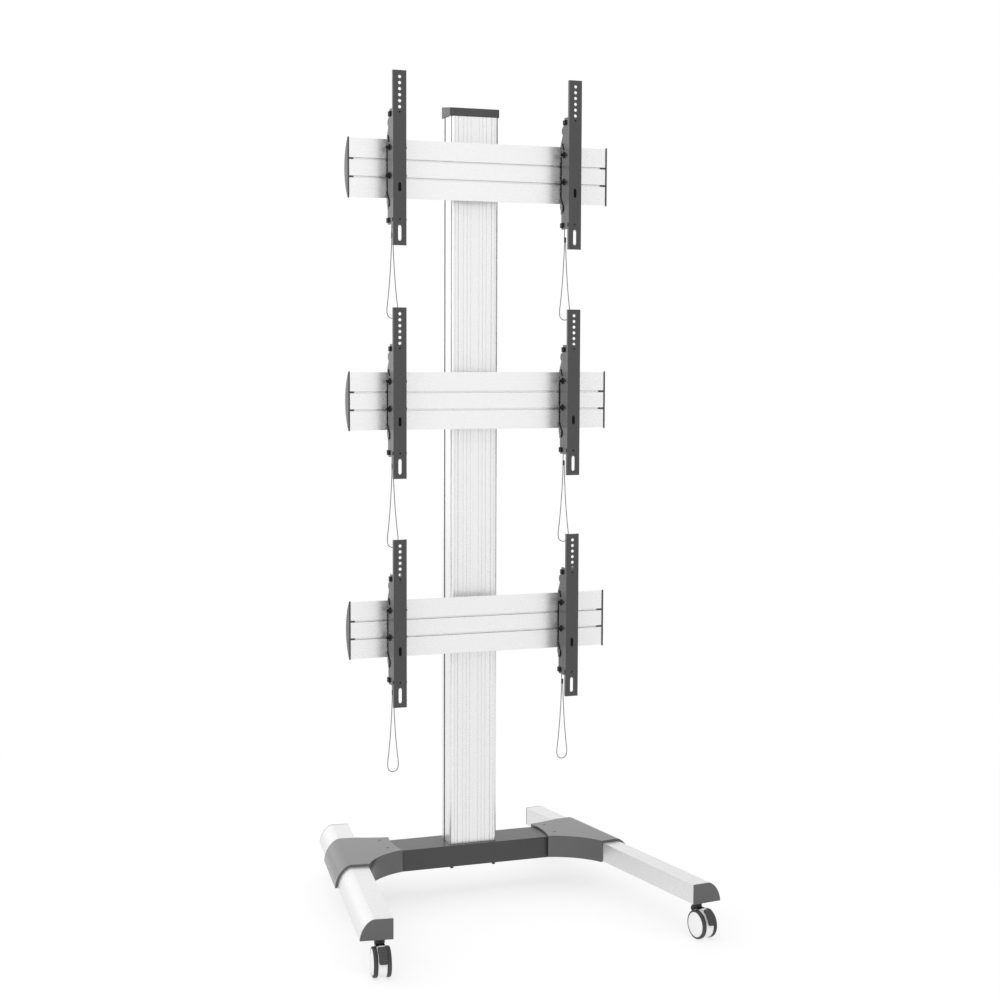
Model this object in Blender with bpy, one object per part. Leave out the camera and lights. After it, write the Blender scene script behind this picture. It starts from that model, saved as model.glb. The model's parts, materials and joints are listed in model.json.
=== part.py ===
"""Wheeled floor stand for a tall wall of three displays.

A splayed castor base carries one extruded column. Three rails clamp to the column, and on each
rail hang two brackets with a tilting display arm, a sprung latch and its pull cord.
World axes: x to the right, y away from the viewer, z up; the arms face -y and z = 0 is the floor.
"""

import math

import bmesh
import bpy
from mathutils import Matrix, Vector
from mathutils.geometry import tessellate_polygon

MM = 0.001
CLEARANCE = 0.3 * MM
SEAT = 0.05 * MM
PIVOT_PLAY = 0.4 * MM
OVERLAP = 1 * MM

# Base legs: a hollow extrusion, straight inside and rounded outside
LEG_LENGTH = 895 * MM
LEG_WIDTH = 83.5 * MM
LEG_HEIGHT = 52.3 * MM
LEG_FLAT = 47 * MM
LEG_WALL = 2.6 * MM
LEG_SPLAY = math.radians(8.2)
LEG_HALF_GAP = 343.7 * MM
LEG_CAP = 3.5 * MM
LEG_CAP_PLUG = 12 * MM
LEG_CURVE_STEPS = 6
LEG_CURVE_POWER = 1.7

# Castors
CASTOR_NECK = 17.7 * MM
CASTOR_END_GAP = 31 * MM
CASTOR_INSET = 30.5 * MM
CASTOR_TRAIL = 25.5 * MM
WHEEL_RADIUS = 37.8 * MM
WHEEL_WIDTH = 11.4 * MM
TREAD_DEPTH = 4.5 * MM
CASTOR_WIDTH = 45.4 * MM
AXLE_RADIUS = 4 * MM
HOOD_INSIDE_TREAD = 2.6 * MM
HOOD_ABOVE_FLOOR = 3.6 * MM
NECK_RADIUS = 12.8 * MM
HOOD_SHOULDER = 0.8
STEM_RADIUS = 5 * MM
STEM_LENGTH = 30 * MM
PEDAL_GAP = 6.2 * MM
PEDAL_THICKNESS = 6.5 * MM
PEDAL_WIDTH = 20.5 * MM
PEDAL_TOP_WIDTH = 27 * MM
PEDAL_SWEEP = (5, 76)
PEDAL_RIBS = 7
PEDAL_RIB_DEPTH = 1.2 * MM
PEDAL_LUG = 9 * MM
PEDAL_LUG_ROOT = 0.85
PEDAL_EAR_RADIUS = 4.4 * MM
PEDAL_PIN_AHEAD = 20.5 * MM
PEDAL_PIN_ABOVE_WHEEL = 7.9 * MM
PEDAL_PIN_RADIUS = 2 * MM
REAR_CASTOR_HEADING = math.radians(135)

# Cross beam and corner gussets
BEAM_DEPTH = 113 * MM
BEAM_HEIGHT = 60 * MM
BEAM_WALL = 3 * MM
BEAM_FRONT = 115.8 * MM
BEAM_ABOVE_LEG = 0.9 * MM
GUSSET_HALF_GAP = 217 * MM
GUSSET_PROUD = 12.4 * MM
GUSSET_TOP = 5.5 * MM
GUSSET_SKIN = 5.2 * MM
GUSSET_BELOW_LEG = 3 * MM
GUSSET_FRONT_BOW = 16.5 * MM
GUSSET_BACK_BOW = 3 * MM
GUSSET_END_BOW = 7.5 * MM
GUSSET_FRONT_ON_LEG = 5 * MM
GUSSET_BACK_ON_LEG = 270 * MM

# Column
COLUMN_WIDTH = 137.6 * MM
COLUMN_DEPTH = 78.4 * MM
COLUMN_HEIGHT = 2018 * MM
COLUMN_SETBACK = 13.8 * MM
COLUMN_WALL = 3.2 * MM
COLUMN_CORNER = 8 * MM
COLUMN_SLOT_OFFSET = 14.2 * MM
COLUMN_FLUTES = ((12, 0.8, 1.3), (22.5, 0.8, 1.3), (33, 0.8, 1.3), (48, 1.5, 2.2), (57, 0.8, 1.3))
COLUMN_RIBS = 19 * MM
COLUMN_BOLT_RADIUS = 5.2 * MM
COLUMN_BOLT_HEAD = 9.5 * MM
COLUMN_BOLT_INSET = 6.5 * MM
CAP_FRONT_HEIGHT = 22 * MM
CAP_BACK_HEIGHT = 32 * MM
CAP_OVERHANG = 2.6 * MM
CAP_EDGE = 1 * MM
CAP_PLUG = 12 * MM

# T-slots, the same section in the rails and the column
SLOT_OPENING = 5.3 * MM
SLOT_LIP = 1.8 * MM
SLOT_POCKET_WIDTH = 11 * MM
SLOT_POCKET_DEPTH = 4.2 * MM

# Rails: flat front, bowed back, a lip along the top and bottom edges
RAIL_LENGTH = 736 * MM
RAIL_HEIGHT = 155.4 * MM
RAIL_BOW = 31 * MM
RAIL_FRONT = 85.4 * MM
RAIL_LIP = 3 * MM
RAIL_LIP_HEIGHT = 7 * MM
RAIL_WALL = 2.6 * MM
RAIL_SLOT_OFFSET = 23.9 * MM
RAIL_TOP_DROP = 154 * MM
RAIL_PITCH = 618 * MM
RAIL_CAP = 4.5 * MM
RAIL_CAP_RIM = 2.4 * MM
RAIL_CAP_PEG = 12 * MM
CLAMP_KEY = 2 * MM
CLAMP_CHEEK_LEAD = 4 * MM
CLAMP_HEIGHT = 112 * MM
CLAMP_CHEEK = 6 * MM
CLAMP_REACH = 12 * MM

# Display arms
ARM_LENGTH = 455 * MM
ARM_WIDTH = 36.7 * MM
ARM_DEPTH = 9.5 * MM
ARM_SHEET = 2.5 * MM
ARM_FRONT = 16.7 * MM
ARM_ABOVE_RAIL = 249.5 * MM
ARM_SPACING = 498.8 * MM
ARM_HOLE_RADIUS = 4.4 * MM
ARM_HOLE_COUNT = 6
ARM_HOLE_PITCH = 15.56 * MM
ARM_HOLE_START = 17 * MM
ARM_MARK_RADIUS = 2 * MM
ARM_MARKS = (107.8 * MM, 386.8 * MM)
ARM_SHORT_SLOT = (290 * MM, 315.5 * MM, 4.2 * MM)
ARM_LONG_SLOT = (401.5 * MM, 443.4 * MM, 4.6 * MM)
TILT_PIVOT_DROP = 387 * MM
TILT_PIVOT_BACK = 8.4 * MM
TILT_EAR_RADIUS = 7 * MM
TILT_EAR_ROOT = 1.6
TILT_PIN_RADIUS = 3 * MM
TILT_PIN_HEAD = 1.6 * MM
TILT_PIN_HEAD_RADIUS = 5.1 * MM

# Hook brackets
BRACKET_SHEET = 2.5 * MM
BRACKET_TOP_DROP = 96.5 * MM
BRACKET_FOOT_DROP = 398.5 * MM
BRACKET_WEB_SETBACK = 2.8 * MM
BRACKET_RAIL_GAP = 7.4 * MM
BRACKET_STEP = 4 * MM
BRACKET_CORNER = 8 * MM
BRACKET_HEAD_BACK = 19 * MM
BRACKET_FOOT_BACK = 4 * MM
BRACKET_HEAD_WAVE = (
    (4.5 * MM, 1 * MM), (4.5 * MM, 8 * MM), (2 * MM, 14 * MM), (-4.5 * MM, 24 * MM), (-7.5 * MM, 30.5 * MM),
    (-1 * MM, 36 * MM), (0.5 * MM, 42 * MM), (-2 * MM, 48 * MM), (-9.5 * MM, 53 * MM), (-17 * MM, 56 * MM),
)
BRACKET_FOOT_WAVE = (
    (9 * MM, 1 * MM), (9 * MM, 9 * MM), (5.5 * MM, 17 * MM), (-1 * MM, 24 * MM), (-1 * MM, 66 * MM),
)
WEB_HEAD_INSET = 8 * MM
WEB_FOOT_INSET = 34 * MM
KNOB_DROPS = (196 * MM, 269.6 * MM)
KNOB_RADIUS = 8.8 * MM
KNOB_WAIST = 0.62
KNOB_LENGTH = 8 * MM
KNOB_BACK = 43 * MM
KNOB_BOLT_RADIUS = 3.5 * MM
KNOB_NUT_RADIUS = 6.5 * MM
PAD_DEPTH = 15 * MM
PAD_HEIGHT = 12.8 * MM
PAD_PROUD = 3.5 * MM
PAD_PLACES = ((52.5 * MM, 109.5 * MM), (68.5 * MM, 387 * MM))
HOOK_THICKNESS = 3 * MM
HOOK_DROP = 5.5 * MM
HOOK_CORNER = 1.2 * MM

# Latches and pull cords
LATCH_TRAVEL = 8 * MM
LATCH_DROP = 28 * MM
LATCH_CATCH = 5.5 * MM
LATCH_BAR_DROP = 17 * MM
LATCH_BAR_DEPTH = 9 * MM
LATCH_BAR_GAP = 0.8 * MM
LATCH_NOSE = 14 * MM
CORD_RADIUS = 1.2 * MM
CORD_CRIMP_DROP = 418 * MM
CORD_CRIMP_LENGTH = 14 * MM
CORD_CRIMP_RADIUS = 2.2 * MM
CORD_CRIMP_WIDER = 1.2 * MM
CORD_SETBACK = 0.8 * MM
CORD_BESIDE = 1.8 * MM
CORD_FOOT_DROP = 647 * MM
CORD_LOOP_WIDTH = 31 * MM
CORD_LOOP = ((0.14, 0.08), (0.28, 0.30), (0.52, 0.56), (0.80, 0.77), (0.98, 0.90), (0.78, 0.97))

ROWS = ("top", "middle", "bottom")
SIDES = {"left": -1, "right": 1}

FLAT_ANGLE = 1e-3

FROM_TOP = Matrix.Identity(4)
FROM_FRONT = Matrix(((1, 0, 0, 0), (0, 0, 1, 0), (0, 1, 0, 0), (0, 0, 0, 1)))
FROM_SIDE = Matrix(((0, 0, 1, 0), (1, 0, 0, 0), (0, 1, 0, 0), (0, 0, 0, 1)))

HOOD_RADIUS = WHEEL_RADIUS - HOOD_INSIDE_TREAD
HOOD_WIDTH = CASTOR_WIDTH - 2 * WHEEL_WIDTH - 2 * CLEARANCE
PEDAL_RADIUS = WHEEL_RADIUS + PEDAL_GAP + PEDAL_THICKNESS
PEDAL_PIN_HEIGHT = 2 * WHEEL_RADIUS + PEDAL_PIN_ABOVE_WHEEL
CASTOR_HEIGHT = 2 * WHEEL_RADIUS + CASTOR_NECK
LEG_BOTTOM = CASTOR_HEIGHT
LEG_TOP = LEG_BOTTOM + LEG_HEIGHT
BEAM_TOP = LEG_TOP + BEAM_ABOVE_LEG
BEAM_BOTTOM = BEAM_TOP - BEAM_HEIGHT
BEAM_BACK = BEAM_FRONT + BEAM_DEPTH
COLUMN_FRONT = BEAM_FRONT + COLUMN_SETBACK
COLUMN_MIDDLE = COLUMN_FRONT + COLUMN_DEPTH / 2
COLUMN_FOOT = BEAM_TOP + CLEARANCE
COLUMN_TOP = COLUMN_FOOT + COLUMN_HEIGHT
RAIL_TOP_ROW = COLUMN_TOP - RAIL_TOP_DROP
RAIL_BACK = RAIL_FRONT + RAIL_BOW
RAIL_RADIUS = ((RAIL_HEIGHT / 2) ** 2 + RAIL_BOW**2) / (2 * RAIL_BOW)
RAIL_ARC_CENTRE = RAIL_BACK - RAIL_RADIUS
ARM_BACK_OF_WEB = ARM_FRONT + ARM_SHEET
TILT_PIVOT_Y = ARM_FRONT + TILT_PIVOT_BACK
BRACKET_HALF = ARM_WIDTH / 2 - ARM_SHEET - CLEARANCE
BRACKET_FRONT = ARM_BACK_OF_WEB + BRACKET_WEB_SETBACK
BRACKET_BACK = RAIL_FRONT - BRACKET_RAIL_GAP
BRACKET_INNER = BRACKET_HALF - BRACKET_SHEET
KNOB_Y = ARM_FRONT + KNOB_BACK


def material(name, colour, roughness, metallic=0.0):
    made = bpy.data.materials.get(name)
    if made is None:
        made = bpy.data.materials.new(name)
        made.use_nodes = True
        surface = made.node_tree.nodes["Principled BSDF"]
        surface.inputs["Base Color"].default_value = (*colour, 1.0)
        surface.inputs["Roughness"].default_value = roughness
        surface.inputs["Metallic"].default_value = metallic
    return made


def silver():
    return material("silver_anodised", (0.86, 0.86, 0.87), 0.35, 0.6)


def dark_powder():
    return material("dark_powder_coat", (0.075, 0.075, 0.078), 0.5)


def grey_moulding():
    return material("grey_moulding", (0.16, 0.16, 0.165), 0.55)


def grey_casting():
    return material("grey_casting", (0.17, 0.17, 0.172), 0.5, 0.2)


def zinc_plate():
    return material("zinc_plate", (0.62, 0.62, 0.63), 0.35, 0.9)


def dark_rubber():
    return material("dark_rubber", (0.035, 0.035, 0.036), 0.7)


def white_plastic():
    return material("white_plastic", (0.85, 0.85, 0.85), 0.4)


def cord_fibre():
    return material("cord_fibre", (0.55, 0.55, 0.55), 0.8)


def mesh_object(name, shape):
    """Links a bmesh as an object with outward faces."""
    bmesh.ops.recalc_face_normals(shape, faces=shape.faces)
    mesh = bpy.data.meshes.new(name)
    shape.to_mesh(mesh)
    shape.free()
    made = bpy.data.objects.new(name, mesh)
    bpy.context.scene.collection.objects.link(made)
    return made


def merge_flat(shape):
    """Joins the neighbouring faces of a bmesh that lie in one plane."""
    bmesh.ops.dissolve_limit(shape, angle_limit=FLAT_ANGLE, verts=shape.verts, edges=shape.edges)


def prism(outlines, length, plane, offset=0.0, name="blank"):
    """Draws outlines, the outer one first and then its holes, out by length along their plane's normal."""
    shape = bmesh.new()
    rings = []
    for outline in outlines:
        low = [shape.verts.new(plane @ Vector((u, v, offset))) for u, v in outline]
        high = [shape.verts.new(plane @ Vector((u, v, offset + length))) for u, v in outline]
        rings.append((low, high))
        for i in range(len(outline)):
            j = (i + 1) % len(outline)
            shape.faces.new((low[i], low[j], high[j], high[i]))
    if len(outlines) == 1:
        shape.faces.new(rings[0][0])
        shape.faces.new(rings[0][1])
        return mesh_object(name, shape)
    lows = [vert for low, _ in rings for vert in low]
    highs = [vert for _, high in rings for vert in high]
    flat = [[Vector((u, v, 0)) for u, v in outline] for outline in outlines]
    for a, b, c in tessellate_polygon(flat):
        shape.faces.new((lows[a], lows[b], lows[c]))
        shape.faces.new((highs[c], highs[b], highs[a]))
    merge_flat(shape)
    return mesh_object(name, shape)


def block(low, high, name="blank"):
    (x0, y0, z0), (x1, y1, z1) = low, high
    return prism([[(x0, y0), (x1, y0), (x1, y1), (x0, y1)]], z1 - z0, FROM_TOP, z0, name)


def round_bar(radius, length, steps, plane, centre, offset, name="blank"):
    return prism([circle(centre, radius, steps)], length, plane, offset, name)


def circle(centre, radius, steps):
    turns = [2 * math.pi * (i + 0.5) / steps for i in range(steps)]
    return [(centre[0] + radius * math.cos(t), centre[1] + radius * math.sin(t)) for t in turns]


def arc(centre, radius, start, end, steps):
    turns = [math.radians(start + (end - start) * i / steps) for i in range(steps + 1)]
    return [(centre[0] + radius * math.cos(t), centre[1] + radius * math.sin(t)) for t in turns]


def bowed(start, end, bow, steps):
    """The circular arc from start to end that stands bow off its chord, to the left for bow > 0."""
    start, end = Vector(start), Vector(end)
    chord = end - start
    half = chord.length / 2
    radius = (half**2 + bow**2) / (2 * abs(bow))
    side = Vector((-chord.y, chord.x)).normalized() * math.copysign(1, bow)
    centre = (start + end) / 2 - side * (radius - abs(bow))
    reach = math.asin(half / radius)
    points = []
    for i in range(steps + 1):
        angle = reach * (2 * i / steps - 1)
        across, along = radius * math.cos(angle), radius * math.sin(angle)
        points.append(centre + side * across + chord.normalized() * along)
    return [(p.x, p.y) for p in points]


def slot(top, bottom, half, x=0.0, steps=3):
    """A slot with round ends, standing upright between the heights top and bottom."""
    upper = arc((x, top - half), half, 0, 180, steps)
    lower = arc((x, bottom + half), half, 180, 360, steps)
    return upper + lower


def mirror_across(obj, axis, side):
    """Turns a piece made for the positive side into its mirror image where side is negative."""
    if side < 0:
        for vert in obj.data.vertices:
            vert.co[axis] = -vert.co[axis]
        obj.data.flip_normals()
    return obj


def mirrored(points, side):
    return [(side * u, v) for u, v in points]


def settle(obj):
    """Replaces an object's mesh with what its modifiers make of it."""
    graph = bpy.context.evaluated_depsgraph_get()
    obj.data = bpy.data.meshes.new_from_object(obj.evaluated_get(graph))
    obj.modifiers.clear()
    shape = bmesh.new()
    shape.from_mesh(obj.data)
    merge_flat(shape)
    shape.to_mesh(obj.data)
    shape.free()
    return obj


def boolean(target, others, operation):
    for other in others:
        step = target.modifiers.new(operation.lower(), "BOOLEAN")
        step.operation = operation
        step.solver = "EXACT"
        step.object = other
    settle(target)
    for other in others:
        bpy.data.objects.remove(other)
    return target


def join(target, *others):
    return boolean(target, others, "UNION")


def cut(target, *others):
    return boolean(target, others, "DIFFERENCE")


def finish(obj, name, surface, smooth=30):
    """Gives a finished piece its name, its material and smooth rounds."""
    obj.name = name
    obj.data.name = name
    obj.data.materials.clear()
    obj.data.materials.append(surface)
    obj.data.shade_smooth()
    obj.data.set_sharp_from_angle(angle=math.radians(smooth))
    return obj


def bevel(obj, width, segments=1, angle=50):
    step = obj.modifiers.new("bevel", "BEVEL")
    step.width = width
    step.segments = segments
    step.limit_method = "ANGLE"
    step.angle_limit = math.radians(angle)
    return settle(obj)


def copy_of(source, name):
    made = bpy.data.objects.new(name, source.data)
    bpy.context.scene.collection.objects.link(made)
    return made


def empty(name, location, parent=None, turn=0.0):
    made = bpy.data.objects.new(name, None)
    bpy.context.scene.collection.objects.link(made)
    made.location = location
    made.rotation_euler.z = turn
    made.parent = parent
    return made


def leg_point(across, along, side=1):
    """World x and y of a point of a leg: across from its inner side, along from its middle."""
    cosine, sine = math.cos(LEG_SPLAY), math.sin(LEG_SPLAY)
    x = LEG_HALF_GAP + across * cosine - along * sine
    return side * x, across * sine + along * cosine


def leg_outline(grow=0.0, low=0.0):
    """The leg's section from its inner side at 0, grown outwards by grow; low moves its bottom."""
    outer = arc((0, 0), 1, 90, 0, LEG_CURVE_STEPS)
    power = 2 / LEG_CURVE_POWER
    curve = [
        (LEG_FLAT + abs(u)**power * (LEG_WIDTH - LEG_FLAT + grow), abs(v)**power * (LEG_HEIGHT + grow))
        for u, v in outer
    ]
    if low:
        curve.append((LEG_WIDTH + grow, low))
    return [(-grow, low), (-grow, LEG_HEIGHT + grow), *curve]


def leg_bore():
    """The leg's hollow: its outline drawn in by the wall, with a flat floor."""
    outline = leg_outline(-LEG_WALL)
    floor = LEG_WALL
    kept = [(u, v) for u, v in outline if v > floor]
    reach = 1 - (floor / (LEG_HEIGHT - LEG_WALL)) ** LEG_CURVE_POWER
    corner = LEG_FLAT + (LEG_WIDTH - LEG_FLAT - LEG_WALL) * reach ** (1 / LEG_CURVE_POWER)
    return [(LEG_WALL, floor), *kept, (corner, floor)]


def make_leg(side):
    body = LEG_LENGTH - 2 * (LEG_CAP + CLEARANCE)
    leg = prism([leg_outline(), leg_bore()], body, FROM_FRONT, -body / 2)
    radius = STEM_RADIUS + CLEARANCE
    places = [(CASTOR_INSET, end * castor_along()) for end in (-1, 1)]
    holes = [round_bar(radius, 2 * LEG_WALL, 12, FROM_TOP, place, -LEG_WALL / 2) for place in places]
    return mirror_across(cut(leg, *holes), 0, side)


def make_leg_cap(side, end):
    """A cap with the leg's outline and a plug that fits its hollow, for one end of one leg."""
    cap = prism([leg_outline()], LEG_CAP, FROM_FRONT, 0)
    plug = prism([shrunk(leg_bore(), CLEARANCE)], LEG_CAP_PLUG + LEG_CAP / 2, FROM_FRONT, LEG_CAP / 2)
    join(cap, plug)
    return mirror_across(mirror_across(cap, 0, side), 1, -end)


def shrunk(outline, amount):
    """A convex outline drawn in by amount, towards its inside on every edge."""
    turn = sum(
        a[0] * b[1] - b[0] * a[1] for a, b in zip(outline, outline[1:] + outline[:1])
    )
    way = math.copysign(1, turn)
    lines = []
    for a, b in zip(outline, outline[1:] + outline[:1]):
        along = (Vector(b) - Vector(a)).normalized()
        inward = Vector((-along.y, along.x)) * way
        lines.append((Vector(a) + inward * amount, along))
    points = []
    for (p, d), (q, e) in zip(lines[-1:] + lines[:-1], lines):
        t = ((q - p).x * e.y - (q - p).y * e.x) / (d.x * e.y - d.y * e.x)
        corner = p + d * t
        points.append((corner.x, corner.y))
    return points


def castor_along():
    return LEG_LENGTH / 2 - CASTOR_END_GAP


def make_leg_assembly(stand):
    for label, side in SIDES.items():
        origin = (side * LEG_HALF_GAP, 0, LEG_BOTTOM)
        frame = empty(f"leg_axis_{label}", origin, stand, side * LEG_SPLAY)
        leg = finish(make_leg(side), f"leg_{label}", silver())
        leg.parent = frame
        for place, end in (("front", -1), ("rear", 1)):
            cap = finish(make_leg_cap(side, end), f"leg_end_cap_{label}_{place}", grey_moulding())
            cap.location.y = end * LEG_LENGTH / 2
            cap.parent = frame


def leg_inner_x(y):
    """Where a leg's inner side passes at a depth y."""
    return LEG_HALF_GAP - y * math.tan(LEG_SPLAY)


def make_beam(stand):
    outer = [(BEAM_FRONT, BEAM_BOTTOM), (BEAM_BACK, BEAM_BOTTOM)]
    outer += [(BEAM_BACK, BEAM_TOP), (BEAM_FRONT, BEAM_TOP)]
    inner = shrunk(outer, BEAM_WALL)
    beam = prism([outer, inner], 2, FROM_SIDE, -1)
    for vert in beam.data.vertices:
        reach = leg_inner_x(vert.co.y) - CLEARANCE / math.cos(LEG_SPLAY)
        vert.co.x = math.copysign(reach, vert.co.x)
    heads = []
    for x in (-1, 1):
        for y in (COLUMN_FRONT + COLUMN_BOLT_INSET, COLUMN_FRONT + COLUMN_DEPTH - COLUMN_BOLT_INSET):
            place = (x * (COLUMN_WIDTH / 2 - COLUMN_BOLT_INSET), y)
            heads.append(turned_solid(bolt_head_profile(), 8, place))
    join(beam, *heads)
    finish(beam, "cross_beam", dark_powder())
    beam.parent = stand


def bolt_head_profile():
    """Half section of a column bolt's head below the beam, up into the beam's floor."""
    foot = BEAM_BOTTOM - COLUMN_BOLT_HEAD
    edge = 0.1 * COLUMN_BOLT_RADIUS
    ring = COLUMN_BOLT_RADIUS
    return [(ring - edge, foot), (ring, foot + edge), (ring, BEAM_BOTTOM + BEAM_WALL / 2)]


def turned_solid(profile, steps, centre, plane=FROM_TOP, name="blank"):
    """Turns an open profile about its axis and closes both of its ends flat."""
    shape = bmesh.new()
    rings = []
    for r, h in profile:
        rings.append([
            shape.verts.new(plane @ Vector((
                centre[0] + r * math.cos(2 * math.pi * (i + 0.5) / steps),
                centre[1] + r * math.sin(2 * math.pi * (i + 0.5) / steps),
                h,
            )))
            for i in range(steps)
        ])
    for ring, following in zip(rings, rings[1:]):
        for i in range(steps):
            j = (i + 1) % steps
            shape.faces.new((ring[i], ring[j], following[j], following[i]))
    shape.faces.new(rings[0])
    shape.faces.new(rings[-1])
    return mesh_object(name, shape)


def gusset_plan():
    """The gusset's outline from above: hollow-bowed front and inner end, nearly straight back."""
    front = BEAM_FRONT - GUSSET_PROUD
    back = BEAM_BACK + GUSSET_PROUD
    reach = -GUSSET_TOP / 2
    outline = bowed((GUSSET_HALF_GAP, front), leg_point(reach, GUSSET_FRONT_ON_LEG), GUSSET_FRONT_BOW, 9)
    outline += [leg_point(LEG_FLAT, GUSSET_FRONT_ON_LEG), leg_point(LEG_FLAT, GUSSET_BACK_ON_LEG)]
    outline += bowed(leg_point(reach, GUSSET_BACK_ON_LEG), (GUSSET_HALF_GAP, back), GUSSET_BACK_BOW, 3)
    outline += bowed((GUSSET_HALF_GAP, back), (GUSSET_HALF_GAP, front), GUSSET_END_BOW, 6)[1:-1]
    return outline


def gusset_front_pocket():
    """The hollow behind the gusset's bowed front wall."""
    start = (GUSSET_HALF_GAP + GUSSET_END_BOW + GUSSET_SKIN, BEAM_FRONT - GUSSET_PROUD + GUSSET_SKIN)
    along = GUSSET_FRONT_ON_LEG + 3 * GUSSET_SKIN
    outline = bowed(start, leg_point(-GUSSET_SKIN, along), GUSSET_FRONT_BOW, 5)
    outline += [leg_point(GUSSET_SKIN, along), leg_point(GUSSET_SKIN, BEAM_FRONT)]
    outline += [(GUSSET_HALF_GAP + GUSSET_END_BOW + GUSSET_SKIN, BEAM_FRONT + BEAM_WALL)]
    return outline


def make_gusset(side):
    """A cast shell over the corner, open below, with room for the leg and the beam."""
    floor = LEG_BOTTOM - GUSSET_BELOW_LEG
    top = BEAM_TOP + CLEARANCE + GUSSET_TOP
    body = prism([gusset_plan()], top - floor, FROM_TOP, floor)
    frame = Matrix.Translation((LEG_HALF_GAP, 0, LEG_BOTTOM)) @ Matrix.Rotation(LEG_SPLAY, 4, "Z")
    length = GUSSET_BACK_ON_LEG - GUSSET_FRONT_ON_LEG
    grow = top - LEG_TOP
    wrap = [(u, v) for u, v in leg_outline(grow, -GUSSET_BELOW_LEG) if u > 0]
    wrap = [(LEG_FLAT / 2, -GUSSET_BELOW_LEG), (LEG_FLAT / 2, LEG_HEIGHT + grow), *wrap]
    join(body, prism([wrap], length, frame @ FROM_FRONT, GUSSET_FRONT_ON_LEG))
    leg_room = prism([leg_outline(CLEARANCE, -LEG_HEIGHT)], LEG_LENGTH, frame @ FROM_FRONT, -LEG_LENGTH / 2)
    beam_room = block(
        (0, BEAM_FRONT - CLEARANCE, floor - BEAM_HEIGHT),
        (LEG_HALF_GAP, BEAM_BACK + CLEARANCE, BEAM_TOP + CLEARANCE),
    )
    pocket = prism([gusset_front_pocket()], BEAM_TOP - floor + OVERLAP, FROM_TOP, floor - OVERLAP)
    cut(body, leg_room, beam_room, pocket)
    return mirror_across(body, 0, side)


def make_gussets(stand):
    for label, side in SIDES.items():
        gusset = finish(make_gusset(side), f"corner_gusset_{label}", grey_casting())
        gusset.parent = stand


def make_castor_fork():
    """Hood, neck, stem and pedal lug; the origin is on the stem's axis at the floor."""
    width = HOOD_WIDTH
    axle = (CASTOR_TRAIL, WHEEL_RADIUS)
    low = math.degrees(math.asin((WHEEL_RADIUS - HOOD_ABOVE_FLOOR) / HOOD_RADIUS))
    neck_foot = 2 * WHEEL_RADIUS + CLEARANCE
    back = axle[0] - HOOD_RADIUS
    front = HOOD_SHOULDER * NECK_RADIUS
    meets = math.degrees(math.acos((front - axle[0]) / HOOD_RADIUS))
    shoulder = [(front, neck_foot + OVERLAP), (back, neck_foot + OVERLAP)]
    hood = arc(axle, HOOD_RADIUS, -low, meets, 8) + shoulder + arc(axle, HOOD_RADIUS, 180, 180 + low, 4)
    body = prism([hood], width, FROM_SIDE, -width / 2)
    neck_top = CASTOR_HEIGHT - CLEARANCE
    neck_profile = [(NECK_RADIUS, neck_foot), (NECK_RADIUS, neck_top), (STEM_RADIUS, neck_top)]
    neck_profile += [(STEM_RADIUS, CASTOR_HEIGHT + STEM_LENGTH)]
    neck = turned_solid(neck_profile, 12, (0, 0))
    pin = (PEDAL_PIN_AHEAD, PEDAL_PIN_HEIGHT)
    lug = prism([lug_outline(pin, PEDAL_EAR_RADIUS)], PEDAL_LUG, FROM_SIDE, -PEDAL_LUG / 2)
    pin_half = PEDAL_WIDTH / 2 - CLEARANCE
    pin_bar = round_bar(PEDAL_PIN_RADIUS, 2 * pin_half, 8, FROM_SIDE, pin, -pin_half)
    join(body, neck, lug, pin_bar)
    bore = round_bar(AXLE_RADIUS + PIVOT_PLAY, CASTOR_WIDTH, 8, FROM_SIDE, axle, -CASTOR_WIDTH / 2)
    return cut(body, bore)


def lug_outline(pin, radius):
    """A rounded lug that stands on the hood under the pedal's pin."""
    foot = WHEEL_RADIUS + PEDAL_LUG_ROOT * HOOD_RADIUS
    return [(pin[0] - radius, foot), *arc(pin, radius, 180, 0, 4), (pin[0] + radius, foot)]


def make_castor_wheels():
    """Two wheels on one axle; the origin is the axle's middle."""
    inner = CASTOR_WIDTH / 2 - WHEEL_WIDTH
    outer = CASTOR_WIDTH / 2
    disc = WHEEL_RADIUS - TREAD_DEPTH
    shoulder = outer - TREAD_DEPTH / 2
    half = [(AXLE_RADIUS, inner), (WHEEL_RADIUS, inner), (WHEEL_RADIUS, shoulder), (disc, outer)]
    profile = [(r, -h) for r, h in reversed(half)] + half
    return turned_solid(profile, 18, (0, 0), FROM_SIDE)


def paint_treads(wheels):
    """Gives the wheels' rolling faces the tread's material."""
    wheels.data.materials.append(dark_rubber())
    for face in wheels.data.polygons:
        corners = [wheels.data.vertices[i].co for i in face.vertices]
        if all(math.hypot(corner.y, corner.z) > WHEEL_RADIUS - SEAT for corner in corners):
            face.material_index = 1


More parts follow.
